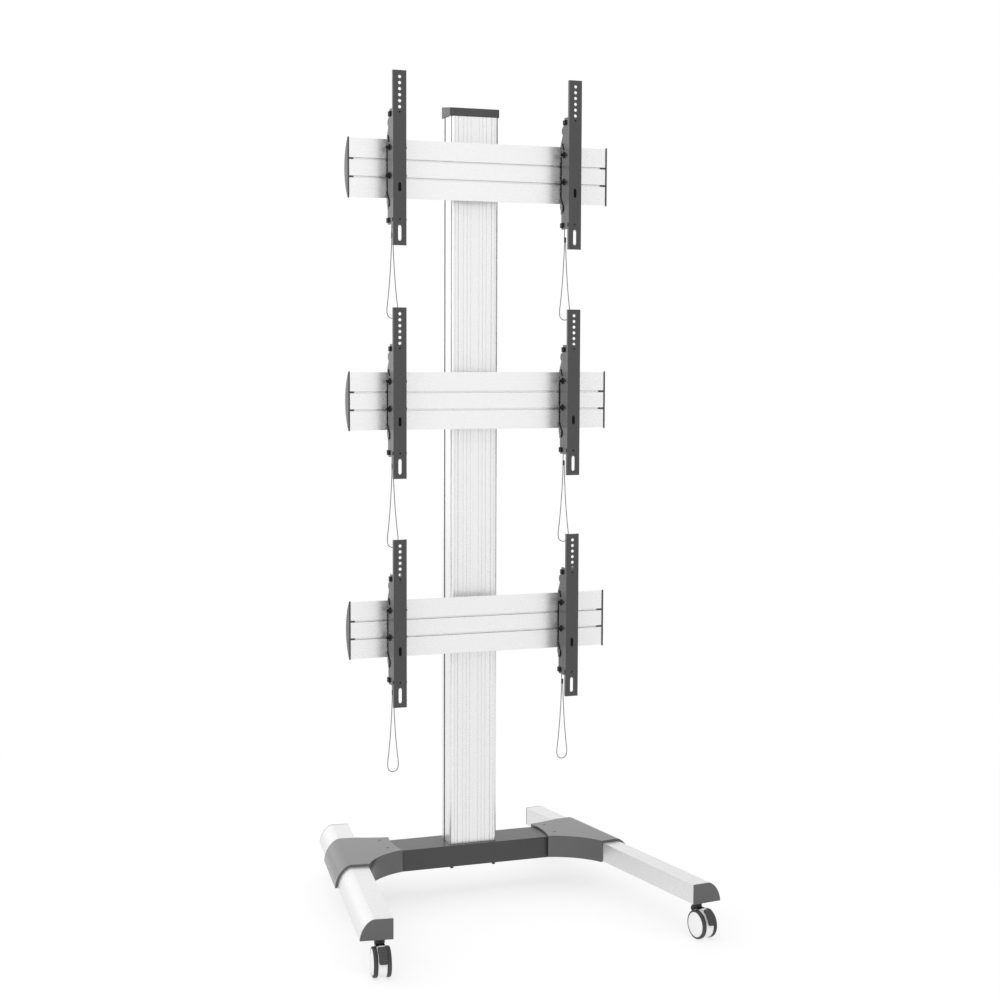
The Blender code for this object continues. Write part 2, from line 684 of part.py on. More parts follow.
def make_castor_pedal():
    """Ribbed brake pedal, wider at its top; the origin is its hinge pin."""
    axle = (CASTOR_TRAIL - PEDAL_PIN_AHEAD, WHEEL_RADIUS - PEDAL_PIN_HEIGHT)
    low, high = PEDAL_SWEEP
    steps = 2 * PEDAL_RIBS
    treads = []
    for i in range(steps + 1):
        turn = math.radians(low + (high - low) * i / steps)
        radius = PEDAL_RADIUS - (0 if i % 2 else PEDAL_RIB_DEPTH)
        treads.append((axle[0] + radius * math.cos(turn), axle[1] + radius * math.sin(turn)))
    under = arc(axle, PEDAL_RADIUS - PEDAL_THICKNESS, high, low, 4)
    half = PEDAL_WIDTH / 2
    plate = prism([treads + under], 2 * half, FROM_SIDE, -half)
    fall = treads[-1][1] - treads[0][1]
    for vert in plate.data.vertices:
        climb = (vert.co.z - treads[0][1]) / fall
        vert.co.x *= 1 + (PEDAL_TOP_WIDTH / PEDAL_WIDTH - 1) * climb**2
    inner = PEDAL_LUG / 2 + CLEARANCE
    ear = [*arc((0, 0), PEDAL_EAR_RADIUS, 90, 250, 4), under[2], treads[-1]]
    ears = [prism([ear], half - inner, FROM_SIDE, start) for start in (inner, -half)]
    join(plate, *ears)
    bore = round_bar(PEDAL_PIN_RADIUS + PIVOT_PLAY, CASTOR_WIDTH, 8, FROM_SIDE, (0, 0), -CASTOR_WIDTH / 2)
    return cut(plate, bore)


def make_castors(stand):
    fork = finish(make_castor_fork(), "castor_fork_master", white_plastic())
    wheels = finish(make_castor_wheels(), "castor_wheels_master", white_plastic())
    paint_treads(wheels)
    pedal = finish(make_castor_pedal(), "castor_pedal_master", dark_rubber())
    for label, side in SIDES.items():
        for place, end in (("front", -1), ("rear", 1)):
            x, y = leg_point(CASTOR_INSET, end * castor_along(), side)
            turn = side * LEG_SPLAY if end < 0 else REAR_CASTOR_HEADING
            swivel = empty(f"castor_swivel_{place}_{label}", (x, y, 0), stand, turn + math.pi)
            placed = copy_of(fork, f"castor_fork_{place}_{label}")
            placed.parent = swivel
            rolling = copy_of(wheels, f"castor_wheels_{place}_{label}")
            rolling.location = (0, CASTOR_TRAIL, WHEEL_RADIUS)
            rolling.parent = swivel
            brake = copy_of(pedal, f"castor_pedal_{place}_{label}")
            brake.location = (0, PEDAL_PIN_AHEAD, PEDAL_PIN_HEIGHT)
            brake.parent = swivel
    for master in (fork, wheels, pedal):
        bpy.data.objects.remove(master)


def t_slot(at, face, inward):
    """Points of a T-slot cut into a straight face; u runs along the face, inward points into the wall."""
    half, pocket = SLOT_OPENING / 2, SLOT_POCKET_WIDTH / 2
    lip = face + inward * SLOT_LIP
    floor = lip + inward * SLOT_POCKET_DEPTH
    return [
        (at - half, face), (at - half, lip), (at - pocket, lip), (at - pocket, floor),
        (at + pocket, floor), (at + pocket, lip), (at + half, lip), (at + half, face),
    ]


def column_outline(grow=0.0):
    """Fluted front, T-slotted sides and plain back, seen from above about the column's middle."""
    half, depth = COLUMN_WIDTH / 2 + grow, COLUMN_DEPTH / 2 + grow
    front = []
    for x, reach, deep in COLUMN_FLUTES:
        front += [((x - reach) * MM, -depth), (x * MM, -depth + deep * MM), ((x + reach) * MM, -depth)]
    corner = COLUMN_CORNER
    front += arc((half - corner, -depth + corner), corner, -90, 0, 4)
    side = [(v, u) for u, v in t_slot(COLUMN_SLOT_OFFSET, half, -1)]
    back = arc((half - corner / 2, depth - corner / 2), corner / 2, 0, 90, 2)
    right = front + side + back
    return right + [(-u, v) for u, v in reversed(right)]


def plain_outline(half, depth, corner, steps=4):
    """A rectangle with round corners about its middle."""
    points = []
    for x, y, start in ((1, -1, -90), (1, 1, 0), (-1, 1, 90), (-1, -1, 180)):
        centre = (x * (half - corner), y * (depth - corner))
        points += arc(centre, corner, start, start + 90, steps)
    return points


def column_chambers():
    """The three hollows of the column, between its walls and two inner ribs."""
    depth = COLUMN_DEPTH / 2 - COLUMN_WALL
    outer = COLUMN_WIDTH / 2 - SLOT_LIP - SLOT_POCKET_DEPTH - COLUMN_WALL
    rib = COLUMN_WALL / 2
    inner, ribs = COLUMN_RIBS - rib, COLUMN_RIBS + rib
    spans = ((-outer, -ribs), (-inner, inner), (ribs, outer))
    return [[(a, -depth), (b, -depth), (b, depth), (a, depth)] for a, b in spans]


def make_column(stand):
    column = prism([column_outline(), *column_chambers()], COLUMN_HEIGHT, FROM_TOP, name="column")
    finish(column, "column", silver())
    column.location = (0, COLUMN_MIDDLE, COLUMN_FOOT)
    column.parent = stand
    half, depth = COLUMN_WIDTH / 2 + CAP_OVERHANG, COLUMN_DEPTH / 2 + CAP_OVERHANG
    cap = prism([plain_outline(half, depth, COLUMN_CORNER)], CAP_BACK_HEIGHT, FROM_TOP, CLEARANCE)
    rise = (CAP_BACK_HEIGHT - CAP_FRONT_HEIGHT) / 2
    above = 2 * CAP_BACK_HEIGHT
    slope = [(-2 * depth, CAP_FRONT_HEIGHT - rise), (2 * depth, CAP_BACK_HEIGHT + rise)]
    slope += [(2 * depth, above), (-2 * depth, above)]
    cut(cap, prism([slope], 4 * half, FROM_SIDE, -2 * half))
    bevel(cap, CAP_EDGE, 1, 60)
    plug = prism([shrunk(column_chambers()[1], CLEARANCE)], CAP_PLUG + 2 * CLEARANCE, FROM_TOP, -CAP_PLUG)
    join(cap, plug)
    finish(cap, "column_cap", grey_moulding())
    cap.location = (0, COLUMN_MIDDLE, COLUMN_TOP)
    cap.parent = stand


def rail_back_at(height, inset=0.0):
    """Depth of the rail's bowed back at a height from its middle, drawn in by inset."""
    radius = RAIL_RADIUS - inset
    return RAIL_ARC_CENTRE + math.sqrt(radius**2 - height**2)


def rail_outline(steps=10):
    """The rail's section in depth and height, about its middle height."""
    half = RAIL_HEIGHT / 2
    notch = half - RAIL_LIP_HEIGHT
    lip = RAIL_FRONT + RAIL_LIP
    heights = [-notch + 2 * notch * i / steps for i in range(steps + 1)]
    back = [(rail_back_at(h), h) for h in heights]
    front = []
    for at in (RAIL_SLOT_OFFSET, -RAIL_SLOT_OFFSET):
        front += [(v, u) for u, v in reversed(t_slot(at, RAIL_FRONT, 1))]
    foot = [(RAIL_FRONT, -half), (lip, -half), (lip, -notch)]
    top = [(lip, notch), (lip, half), (RAIL_FRONT, half)]
    return foot + back + top + front


def rail_chambers():
    """Hollows of the rail: one between the slots and one beyond each of them."""
    pocket = SLOT_POCKET_WIDTH / 2 + RAIL_WALL
    inner, outer = RAIL_SLOT_OFFSET - pocket, RAIL_SLOT_OFFSET + pocket
    limit = RAIL_HEIGHT / 2 - RAIL_LIP_HEIGHT - 2 * RAIL_WALL
    front = RAIL_FRONT + RAIL_WALL
    chambers = []
    for low, high in ((-inner, inner), (outer, limit), (-limit, -outer)):
        heights = [low + (high - low) * i / 4 for i in range(5)]
        back = [(rail_back_at(h, RAIL_WALL), h) for h in heights]
        chambers.append([(front, low), *back, (front, high)])
    return chambers


def make_rail():
    return prism([rail_outline(), *rail_chambers()], RAIL_LENGTH, FROM_SIDE, -RAIL_LENGTH / 2)


def make_rail_cap(side):
    """End cap with the rail's bowed outline, a rim all round and pegs in the two slots."""
    half = RAIL_HEIGHT / 2 + RAIL_CAP_RIM
    front = RAIL_FRONT - RAIL_CAP_RIM / 2
    back = bowed((front, -half), (front, half), -(RAIL_BOW + RAIL_CAP_RIM), 10)
    cap = prism([back], RAIL_CAP, FROM_SIDE, CLEARANCE)
    pegs = []
    for at in (RAIL_SLOT_OFFSET, -RAIL_SLOT_OFFSET):
        low, high = at - SLOT_OPENING / 2, at + SLOT_OPENING / 2
        deep = RAIL_FRONT + SLOT_LIP + SLOT_POCKET_DEPTH
        outline = shrunk([(RAIL_FRONT, low), (deep, low), (deep, high), (RAIL_FRONT, high)], CLEARANCE)
        pegs.append(prism([outline], RAIL_CAP_PEG + RAIL_CAP / 2, FROM_SIDE, -RAIL_CAP_PEG))
    return mirror_across(join(cap, *pegs), 0, side)


def make_rail_clamp():
    """Saddle between the rail's bowed back and the column, with cheeks keyed into the column's slots."""
    half = CLAMP_HEIGHT / 2
    radius = RAIL_RADIUS + CLEARANCE
    heights = [-half + CLAMP_HEIGHT * i / 8 for i in range(9)]
    face = [(RAIL_ARC_CENTRE + math.sqrt(radius**2 - h**2), h) for h in heights]
    rear = COLUMN_FRONT - CLEARANCE
    width = COLUMN_WIDTH / 2 + CLEARANCE + CLAMP_CHEEK
    saddle = prism([[*face, (rear, half), (rear, -half)]], 2 * width, FROM_SIDE, -width)
    slot_y = COLUMN_MIDDLE + COLUMN_SLOT_OFFSET
    inner = COLUMN_WIDTH / 2 + CLEARANCE
    key = SLOT_OPENING / 2 - CLEARANCE
    tip = inner - SLOT_LIP - CLEARANCE - CLAMP_KEY
    start, end = rear - CLAMP_CHEEK_LEAD, slot_y + CLAMP_REACH
    cheeks = []
    for side in (-1, 1):
        outline = [
            (inner, start), (width, start), (width, end), (inner, end),
            (inner, slot_y + key), (tip, slot_y + key), (tip, slot_y - key), (inner, slot_y - key),
        ]
        cheeks.append(prism([mirrored(outline, side)], CLAMP_HEIGHT - 2 * SEAT, FROM_TOP, SEAT - half))
    return join(saddle, *cheeks)


def arm_web_outlines():
    """The arm's face and its holes, about the tilt pivot's height."""
    top = TILT_PIVOT_DROP
    half = ARM_WIDTH / 2
    face = [(-half, top - ARM_LENGTH), (half, top - ARM_LENGTH), (half, top), (-half, top)]
    drops = [ARM_HOLE_START + i * ARM_HOLE_PITCH for i in range(ARM_HOLE_COUNT)]
    holes = [circle((0, top - drop), ARM_HOLE_RADIUS, 8) for drop in drops]
    holes += [circle((0, top - drop), ARM_MARK_RADIUS, 6) for drop in ARM_MARKS]
    holes += [slot(top - start, top - end, reach) for start, end, reach in (ARM_SHORT_SLOT, ARM_LONG_SLOT)]
    return [face, *holes]


def make_arm():
    """A shallow channel with pierced face and a pivot ear on each flange; the origin is the tilt pivot."""
    web = prism(arm_web_outlines(), ARM_SHEET, FROM_FRONT, -TILT_PIVOT_BACK)
    top = TILT_PIVOT_DROP
    low = top - ARM_LENGTH
    half = ARM_WIDTH / 2
    front = ARM_SHEET / 2 - TILT_PIVOT_BACK
    back = ARM_DEPTH - TILT_PIVOT_BACK
    root = TILT_EAR_ROOT * TILT_EAR_RADIUS
    outline = [(front, low), (back, low), (back, -root), *arc((0, 0), TILT_EAR_RADIUS, -60, 60, 3)]
    outline += [(back, root), (back, top), (front, top)]
    flanges = []
    for side in (-1, 1):
        hole = circle((0, 0), TILT_PIN_RADIUS + PIVOT_PLAY, 8)
        start = half - ARM_SHEET if side > 0 else -half
        flanges.append(prism([outline, hole], ARM_SHEET, FROM_SIDE, start))
    return join(web, *flanges)


def bracket_outline():
    """Side plate of the hook bracket in depth and height from the arm's top, with its waved back edge."""
    rail_top = ARM_ABOVE_RAIL - RAIL_HEIGHT / 2
    rail_foot = ARM_ABOVE_RAIL + RAIL_HEIGHT / 2
    front, head, foot = BRACKET_FRONT, BRACKET_TOP_DROP, BRACKET_FOOT_DROP
    outline = [(BRACKET_BACK + back, rail_foot + below) for back, below in reversed(BRACKET_FOOT_WAVE)]
    outline += [(BRACKET_BACK, rail_foot - BRACKET_STEP), (BRACKET_BACK, rail_top + BRACKET_STEP)]
    outline += [(BRACKET_BACK + back, rail_top - above) for back, above in BRACKET_HEAD_WAVE]
    outline += [(BRACKET_BACK - BRACKET_HEAD_BACK, head), (front + BRACKET_CORNER, head)]
    outline += [(front, head + BRACKET_CORNER), (front, foot - BRACKET_CORNER)]
    outline += [(front + BRACKET_CORNER, foot), (BRACKET_BACK - BRACKET_FOOT_BACK, foot)]
    return [(y, ARM_ABOVE_RAIL - drop) for y, drop in outline]


def star_outline(centre, radius, points=5):
    outline = []
    for i in range(2 * points):
        reach = radius if i % 2 == 0 else KNOB_WAIST * radius
        turn = math.pi * i / points + math.pi / 2
        outline.append((centre[0] + reach * math.cos(turn), centre[1] + reach * math.sin(turn)))
    return outline


def make_bracket():
    """Two waved side plates, a front web, a hook over the rail's lip, bolts with star knobs and end pads.

    The origin is on the rail's middle height, in the plane y = 0.
    """
    outline = bracket_outline()
    half, sheet = BRACKET_HALF, BRACKET_SHEET
    web_top = ARM_ABOVE_RAIL - BRACKET_TOP_DROP - WEB_HEAD_INSET
    web_foot = ARM_ABOVE_RAIL - BRACKET_FOOT_DROP + WEB_FOOT_INSET
    web = block((-half, BRACKET_FRONT, web_foot), (half, BRACKET_FRONT + sheet, web_top))
    plates = [prism([outline], sheet, FROM_SIDE, start) for start in (-half, half - sheet)]
    join(web, *plates)
    extras = [bracket_hook()]
    extras += [tilt_pin(side) for side in (-1, 1)]
    for drop in KNOB_DROPS:
        centre = (KNOB_Y, ARM_ABOVE_RAIL - drop)
        sunk = half - sheet / 2
        extras.append(round_bar(KNOB_BOLT_RADIUS, 2 * sunk, 6, FROM_SIDE, centre, -sunk))
        extras.append(prism([star_outline(centre, KNOB_RADIUS)], KNOB_LENGTH, FROM_SIDE, -sunk - KNOB_LENGTH))
        extras.append(round_bar(KNOB_NUT_RADIUS, KNOB_LENGTH, 6, FROM_SIDE, centre, sunk))
    for y, drop in PAD_PLACES:
        low = ARM_ABOVE_RAIL - drop - PAD_HEIGHT / 2
        width = half + PAD_PROUD
        extras.append(block((-width, y - PAD_DEPTH / 2, low), (width, y + PAD_DEPTH / 2, low + PAD_HEIGHT)))
    for extra in extras:
        join(web, extra)
    return web


def tilt_pin(side):
    """A headed pin from one side plate through the arm's ear."""
    start = BRACKET_HALF - BRACKET_SHEET / 2
    head = ARM_WIDTH / 2 + CLEARANCE
    shank, rim = TILT_PIN_RADIUS, TILT_PIN_HEAD_RADIUS
    profile = [(shank, start), (shank, head), (rim, head), (rim, head + TILT_PIN_HEAD)]
    pivot = (TILT_PIVOT_Y, ARM_ABOVE_RAIL - TILT_PIVOT_DROP)
    return turned_solid([(r, side * x) for r, x in profile], 6, pivot, FROM_SIDE)


def bracket_hook():
    """The hook between the plates: a bridge over the rail's lip and a finger down behind it."""
    rail_top = RAIL_HEIGHT / 2
    bridge = rail_top + CLEARANCE
    half = BRACKET_INNER + SEAT
    front = RAIL_FRONT - CLEARANCE
    finger = RAIL_FRONT + RAIL_LIP + CLEARANCE
    tip = finger + HOOK_THICKNESS
    foot = rail_top - HOOK_DROP
    root = BRACKET_FRONT + BRACKET_SHEET / 2
    outline = [
        (root, bridge + 2 * HOOK_THICKNESS), (root, bridge + HOOK_THICKNESS),
        (front - HOOK_THICKNESS, bridge + HOOK_THICKNESS), (front - HOOK_THICKNESS, bridge - 2 * HOOK_DROP),
        (front, bridge - 2 * HOOK_DROP), (front, bridge), (finger, bridge), (finger, foot),
        (tip - HOOK_CORNER, foot), (tip, foot + HOOK_CORNER), (tip, bridge + 2 * HOOK_THICKNESS),
    ]
    return prism([outline], 2 * half, FROM_SIDE, -half)


def make_latch():
    """Sprung catch: a bar that slides between the plates, and its nose under the rail's lower lip.

    The origin is on the rail's middle height at y = 0.
    """
    foot = -RAIL_HEIGHT / 2
    catch = foot - CLEARANCE
    finger = RAIL_FRONT + RAIL_LIP + CLEARANCE
    tip = finger + HOOK_THICKNESS
    back = RAIL_FRONT - LATCH_BAR_GAP
    front = back - LATCH_BAR_DEPTH
    top = RAIL_HEIGHT / 2 - LATCH_BAR_DROP
    low = foot - LATCH_DROP
    cord = cord_y()
    outline = [
        (front, top), (back, top), (back, catch), (finger, catch), (finger, foot + LATCH_CATCH),
        (tip - HOOK_CORNER, foot + LATCH_CATCH), (tip, foot + LATCH_CATCH - HOOK_CORNER),
        (tip, catch - LATCH_NOSE / 2), (tip - HOOK_THICKNESS, catch - LATCH_NOSE),
        (cord + HOOK_THICKNESS, low + HOOK_THICKNESS), (cord + HOOK_THICKNESS, low),
        (cord - HOOK_THICKNESS, low), (front, low + HOOK_THICKNESS),
    ]
    half = BRACKET_INNER - CLEARANCE
    return prism([outline], 2 * half, FROM_SIDE, -half)


def cord_y():
    return RAIL_FRONT + CORD_SETBACK


def cord_route():
    """The cord's middle line from the latch, down through the crimp, round the loop and back to it."""
    y = cord_y()
    start = -RAIL_HEIGHT / 2 - LATCH_DROP - CLEARANCE
    crimp_top = ARM_ABOVE_RAIL - CORD_CRIMP_DROP
    crimp_foot = crimp_top - CORD_CRIMP_LENGTH
    foot = ARM_ABOVE_RAIL - CORD_FOOT_DROP + CORD_RADIUS
    half = CORD_LOOP_WIDTH / 2
    length = crimp_foot - foot
    left = [(CORD_BESIDE, crimp_foot + CORD_CRIMP_LENGTH / 2)]
    left += [(out * half, crimp_foot - down * length) for out, down in CORD_LOOP]
    down = [(0, start), (-CORD_BESIDE, crimp_top + CORD_CRIMP_LENGTH / 2), *((-u, v) for u, v in left)]
    points = [*down, (0, foot), *reversed(left)]
    return [Vector((x, y, z)) for x, z in points]


def make_cord():
    """The pull cord as a round tube, with the crimp that closes its loop."""
    data = bpy.data.curves.new("cord", "CURVE")
    data.dimensions = "3D"
    data.bevel_depth = CORD_RADIUS
    data.bevel_resolution = 1
    data.use_fill_caps = True
    route = cord_route()
    spline = data.splines.new("POLY")
    spline.points.add(len(route) - 1)
    for point, place in zip(spline.points, route):
        point.co = (*place, 1)
    curve = bpy.data.objects.new("cord_curve", data)
    bpy.context.scene.collection.objects.link(curve)
    graph = bpy.context.evaluated_depsgraph_get()
    mesh = bpy.data.meshes.new_from_object(curve.evaluated_get(graph))
    shape = bmesh.new()
    shape.from_mesh(mesh)
    bmesh.ops.remove_doubles(shape, verts=shape.verts, dist=0.01 * MM)
    bpy.data.objects.remove(curve)
    tube = mesh_object("cord_tube", shape)
    foot = ARM_ABOVE_RAIL - CORD_CRIMP_DROP - CORD_CRIMP_LENGTH
    wide = CORD_CRIMP_RADIUS + CORD_CRIMP_WIDER
    sleeve = plain_outline(wide, CORD_CRIMP_RADIUS, CORD_CRIMP_RADIUS / 2, 1)
    crimp = prism([[(u, v + cord_y()) for u, v in sleeve]], CORD_CRIMP_LENGTH, FROM_TOP, foot)
    return join(tube, crimp)


def make_masters():
    """One mesh for each piece that the three rows repeat."""
    return {
        "rail": finish(make_rail(), "rail_master", silver()),
        "cap_left": finish(make_rail_cap(-1), "cap_left_master", grey_moulding()),
        "cap_right": finish(make_rail_cap(1), "cap_right_master", grey_moulding()),
        "clamp": finish(make_rail_clamp(), "clamp_master", dark_powder()),
        "arm": finish(make_arm(), "arm_master", dark_powder()),
        "bracket": finish(make_bracket(), "bracket_master", dark_powder()),
        "latch": finish(make_latch(), "latch_master", zinc_plate()),
        "cord": finish(make_cord(), "cord_master", cord_fibre(), 60),
    }


def make_rows(stand):
    masters = make_masters()
    for step, row in enumerate(ROWS):
        carriage = empty(f"rail_carriage_{row}", (0, 0, RAIL_TOP_ROW - step * RAIL_PITCH), stand)
        for key in ("rail", "clamp"):
            name = f"rail_{row}" if key == "rail" else f"rail_clamp_{row}"
            copy_of(masters[key], name).parent = carriage
        for label, side in SIDES.items():
            cap = copy_of(masters[f"cap_{label}"], f"rail_end_cap_{row}_{label}")
            cap.location.x = side * RAIL_LENGTH / 2
            cap.parent = carriage
            mount = empty(f"bracket_axis_{row}_{label}", (side * ARM_SPACING / 2, 0, 0), carriage)
            copy_of(masters["bracket"], f"hook_bracket_{row}_{label}").parent = mount
            copy_of(masters["latch"], f"latch_{row}_{label}").parent = mount
            copy_of(masters["cord"], f"pull_cord_{row}_{label}").parent = mount
            arm = copy_of(masters["arm"], f"display_arm_{row}_{label}")
            arm.location = (0, TILT_PIVOT_Y, ARM_ABOVE_RAIL - TILT_PIVOT_DROP)
            arm.parent = mount
    for master in masters.values():
        bpy.data.objects.remove(master)


def clear_scene():
    for old in list(bpy.data.objects):
        bpy.data.objects.remove(old)


def centre_depth(stand):
    """Moves the stand so that y = 0 is halfway between its foremost and rearmost points."""
    bpy.context.view_layer.update()
    depths = [
        (obj.matrix_world @ Vector(corner)).y
        for obj in bpy.data.objects
        if obj.type == "MESH"
        for corner in [vert.co for vert in obj.data.vertices]
    ]
    stand.location.y = -(min(depths) + max(depths)) / 2


def main():
    clear_scene()
    stand = empty("stand", (0, 0, 0))
    make_leg_assembly(stand)
    make_beam(stand)
    make_gussets(stand)
    make_castors(stand)
    make_column(stand)
    make_rows(stand)
    centre_depth(stand)


main()
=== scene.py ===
"""Looks of the wheeled floor stand: camera, pull cords, refined pieces, materials, floor and light.

Lengths are in metres, in the CAD frame: x to the viewer's right, y away from the display side, z up.
"""

import json
import math

import bmesh
import bpy
from mathutils import Matrix, Vector


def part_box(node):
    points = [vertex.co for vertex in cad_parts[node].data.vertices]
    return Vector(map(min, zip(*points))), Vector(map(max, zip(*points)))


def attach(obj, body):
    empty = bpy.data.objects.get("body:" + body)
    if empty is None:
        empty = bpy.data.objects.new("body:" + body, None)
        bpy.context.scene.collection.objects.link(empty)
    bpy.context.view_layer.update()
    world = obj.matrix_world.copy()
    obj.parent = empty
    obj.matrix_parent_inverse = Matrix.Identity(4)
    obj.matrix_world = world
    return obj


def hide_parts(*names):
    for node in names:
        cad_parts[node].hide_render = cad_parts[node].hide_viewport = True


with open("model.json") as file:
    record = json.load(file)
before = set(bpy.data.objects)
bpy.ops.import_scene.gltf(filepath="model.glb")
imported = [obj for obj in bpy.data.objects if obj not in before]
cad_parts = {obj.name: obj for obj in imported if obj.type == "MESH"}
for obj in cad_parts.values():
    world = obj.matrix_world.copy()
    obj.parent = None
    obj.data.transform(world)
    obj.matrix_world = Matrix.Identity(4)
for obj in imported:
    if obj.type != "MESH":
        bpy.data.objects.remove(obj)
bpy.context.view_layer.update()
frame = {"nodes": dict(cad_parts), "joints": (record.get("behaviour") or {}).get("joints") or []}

MM = 0.001
ROWS = ("top", "middle", "bottom")
SIDES = ("left", "right")
PLACES = ("front", "rear")

# Camera, fitted to the photograph: its place from the column's front face, its turns and its lens
CAMERA_X = -1.6361
CAMERA_FROM_COLUMN = 4.6558
CAMERA_Z = 1.5268
CAMERA_YAW = math.radians(20.191)
CAMERA_PITCH = math.radians(-4.759)
CAMERA_ROLL = math.radians(0.207)
CAMERA_FOCAL = 1.7831
SENSOR = 36.0

# Sizes repeated from the CAD source, in its own depth before it is centred
COLUMN_FRONT = 129.6 * MM
RAIL_HEIGHT = 155.4 * MM
ARM_FRONT = 16.7 * MM
ARM_ABOVE_RAIL = 249.5 * MM
COLUMN_SLOT_OFFSET = 14.2 * MM
CLEARANCE = 0.3 * MM

# Pull cords, about the rail's middle height and the arm's middle
LATCH_DROP = 28 * MM
CORD_RADIUS = 1.2 * MM
CORD_CRIMP_DROP = 418 * MM
CORD_CRIMP_LENGTH = 14 * MM
CORD_CRIMP_RADIUS = 2.2 * MM
CORD_CRIMP_WIDER = 1.2 * MM
CORD_SETBACK = 0.8 * MM
CORD_BESIDE = 1.8 * MM
CORD_FOOT_DROP = 647 * MM
CORD_LOOP_WIDTH = 31 * MM
CORD_LOOP = ((0.14, 0.08), (0.28, 0.30), (0.52, 0.56), (0.80, 0.77), (0.98, 0.90), (0.78, 0.97))
CRIMP_WAISTS = (
    (0, 0.86), (0.05, 1), (0.28, 1), (0.36, 0.9), (0.44, 1), (0.58, 1), (0.66, 0.9), (0.74, 1),
    (0.95, 1), (1, 0.86),
)

# Column: painted shade in its side slots, the black felt inside them as (nearest, deepest) and half width,
# and the black lips beside them
SLOT_SHADE_DEPTHS = (0.3 * MM, 6.2 * MM)
SLOT_SHADE_HALF = 5.7 * MM
SLOT_LIP_FROM = 2.3 * MM
SLOT_LIP_TO = 4.1 * MM
SLOT_LIP_SUNK = 0.05 * MM
SLOT_LIP_PROUD = 0.2 * MM
SLOT_LIP_CHAMFER = 0.1 * MM
SLOT_LIP_END = 0.5 * MM

# Castors
WHEEL_RADIUS = 37.8 * MM
WHEEL_WIDTH = 11.4 * MM
CASTOR_WIDTH = 45.4 * MM
CASTOR_TRAIL = 25.5 * MM
NECK_RADIUS = 12.8 * MM
NECK_FOOT = 75.9 * MM
NECK_TOP = 93.1 * MM
COLLAR_PROUD = 0.45 * MM
COLLAR_STEPS = 96
COLLAR_NOTCH_PITCH = 12
COLLAR_BORE = 2 * MM
SADDLE_HALF = 11.2 * MM
SADDLE_CLEARANCE = 0.9 * MM
SADDLE_TURNS = (96, 136)
SADDLE_STEPS = 8
HOOD_RADIUS = 35.2 * MM
HOOD_LOOK_RADIUS = 37.1 * MM
HOOD_TOLERANCE = 0.5 * MM
LUG_ROOM = ((-12.3 * MM, 37.5 * MM), (6 * MM, 37.5 * MM), (6 * MM, 60 * MM), (-12.3 * MM, 60 * MM))
LUG_ROOM_HALF = 14 * MM

# Brake pedals: radii about the axle, and turns in degrees from straight ahead
PEDAL_INNER = 44.2 * MM
PEDAL_OUTER = 49.2 * MM
PEDAL_EDGE = 1.0 * MM
PEDAL_HALF = 10.0
PEDAL_WIDER = 1.9
PEDAL_WIDER_FROM = 7
PEDAL_WIDER_OVER = 57
PEDAL_SWEEP = (
    (9.5, 0.74), (10.2, 0.86), (11.6, 0.96), (14, 1.0), *((14 + 44 * i / 14, 1.0) for i in range(1, 14)),
    (58, 1.0), (61, 0.97), (63, 0.90), (64, 0.78),
)
PEDAL_LINK = ((44.6, 62), (44.6, 46), (40.1, 60), (38.8, 78), (38.4, 90), (40.4, 88), (41.9, 78))
PEDAL_LINK_HALF = 6.5 * MM
RIB_COUNT = 9
RIB_FIRST = 15.5
RIB_PITCH = 5.4
RIB_HALF = 8.9
RIB_WIDER = 1.3
RIB_WIDER_OVER = 43
RIB_FOOT = PEDAL_OUTER - 0.4 * MM
RIB_CREST = PEDAL_OUTER + 1.1 * MM
RIB_SECTION = ((-1.6, RIB_FOOT, 1), (-0.9, RIB_CREST, 0.97), (0.9, RIB_CREST, 0.97), (1.6, RIB_FOOT, 1))

# Hook brackets: drops from the arm's top, depths before centring, widths from the arm's middle
KNOB_DROPS = (196 * MM, 269.6 * MM)
KNOB_DEPTH = 59.7 * MM
KNOB_REACH = 9.2 * MM
KNOB_WAIST = 4.7 * MM
KNOB_ROOM = 10.6 * MM
KNOB_ROOM_FROM = 0.02 * MM
KNOB_ROOM_TO = 26 * MM
KNOB_ARMS = 4
KNOB_SHARPNESS = 1.6
KNOB_STEPS = 60
KNOB_BEFORE_BOLT = 1.5 * MM
# A knob's levels as (reach, radius in mm or share of the star, whether it is the star)
KNOB_LEVELS = (
    (15.4, 5.0, 0), (15.9, 5.0, 0), (16.0, 0.90, 1), (16.5, 1.0, 1), (18.4, 1.0, 1), (19.0, 0.92, 1),
    (19.1, 4.6, 0), (25.2, 4.3, 0), (26.0, 3.4, 0), (26.2, 1.2, 0),
)
BOLT_TIP = (
    (15.4, 6.6), (16.0, 7.2), (19.8, 7.2), (20.5, 6.6), (20.6, 4.6), (21.4, 4.2), (30.8, 4.2),
    (31.7, 3.7), (32.2, 2.4), (32.4, 0.6),
)
PLATE_BACK = -7.4 * MM
# Painted shade: black strips in the gap between the side plates and the rail
STRIP_DROPS = (199 * MM, 316 * MM)
STRIP_INTO_PLATE = 0.9 * MM
STRIP_BEFORE_RAIL = 0.8 * MM
STRIP_SUNK = 0.2 * MM
STRIP_PROUD = 0.5 * MM
STRIP_NOTCHES = 8
NOTCH_DEPTH = 0.9 * MM
NOTCH_MOUTH = 1.6 * MM
NOTCH_FLOOR = 0.6 * MM
# Black wires on the side plates, as (depth from the rail's front, drop from the arm's top) in mm; the upper
# one is painted shade, the hook's shadow at the rail's top edge
WIRE_RADIUS = 1.4 * MM
WIRE_PROUD = 0.7
HOOK_SHADE_WIRE = ((-13.8, 164), (-17, 169.5), (-20.5, 176), (-23, 182))
WIRE_FOOT = (
    (-5, 312), (-8, 318), (-14, 323), (-17, 328.5), (-21, 331.5), (-24.5, 335), (-25, 341), (-24.5, 346.5),
    (-21, 349.5), (-16, 348.5),
)
PLATE_OUTER = 15.55 * MM
PLATE_INNER = 13.05 * MM
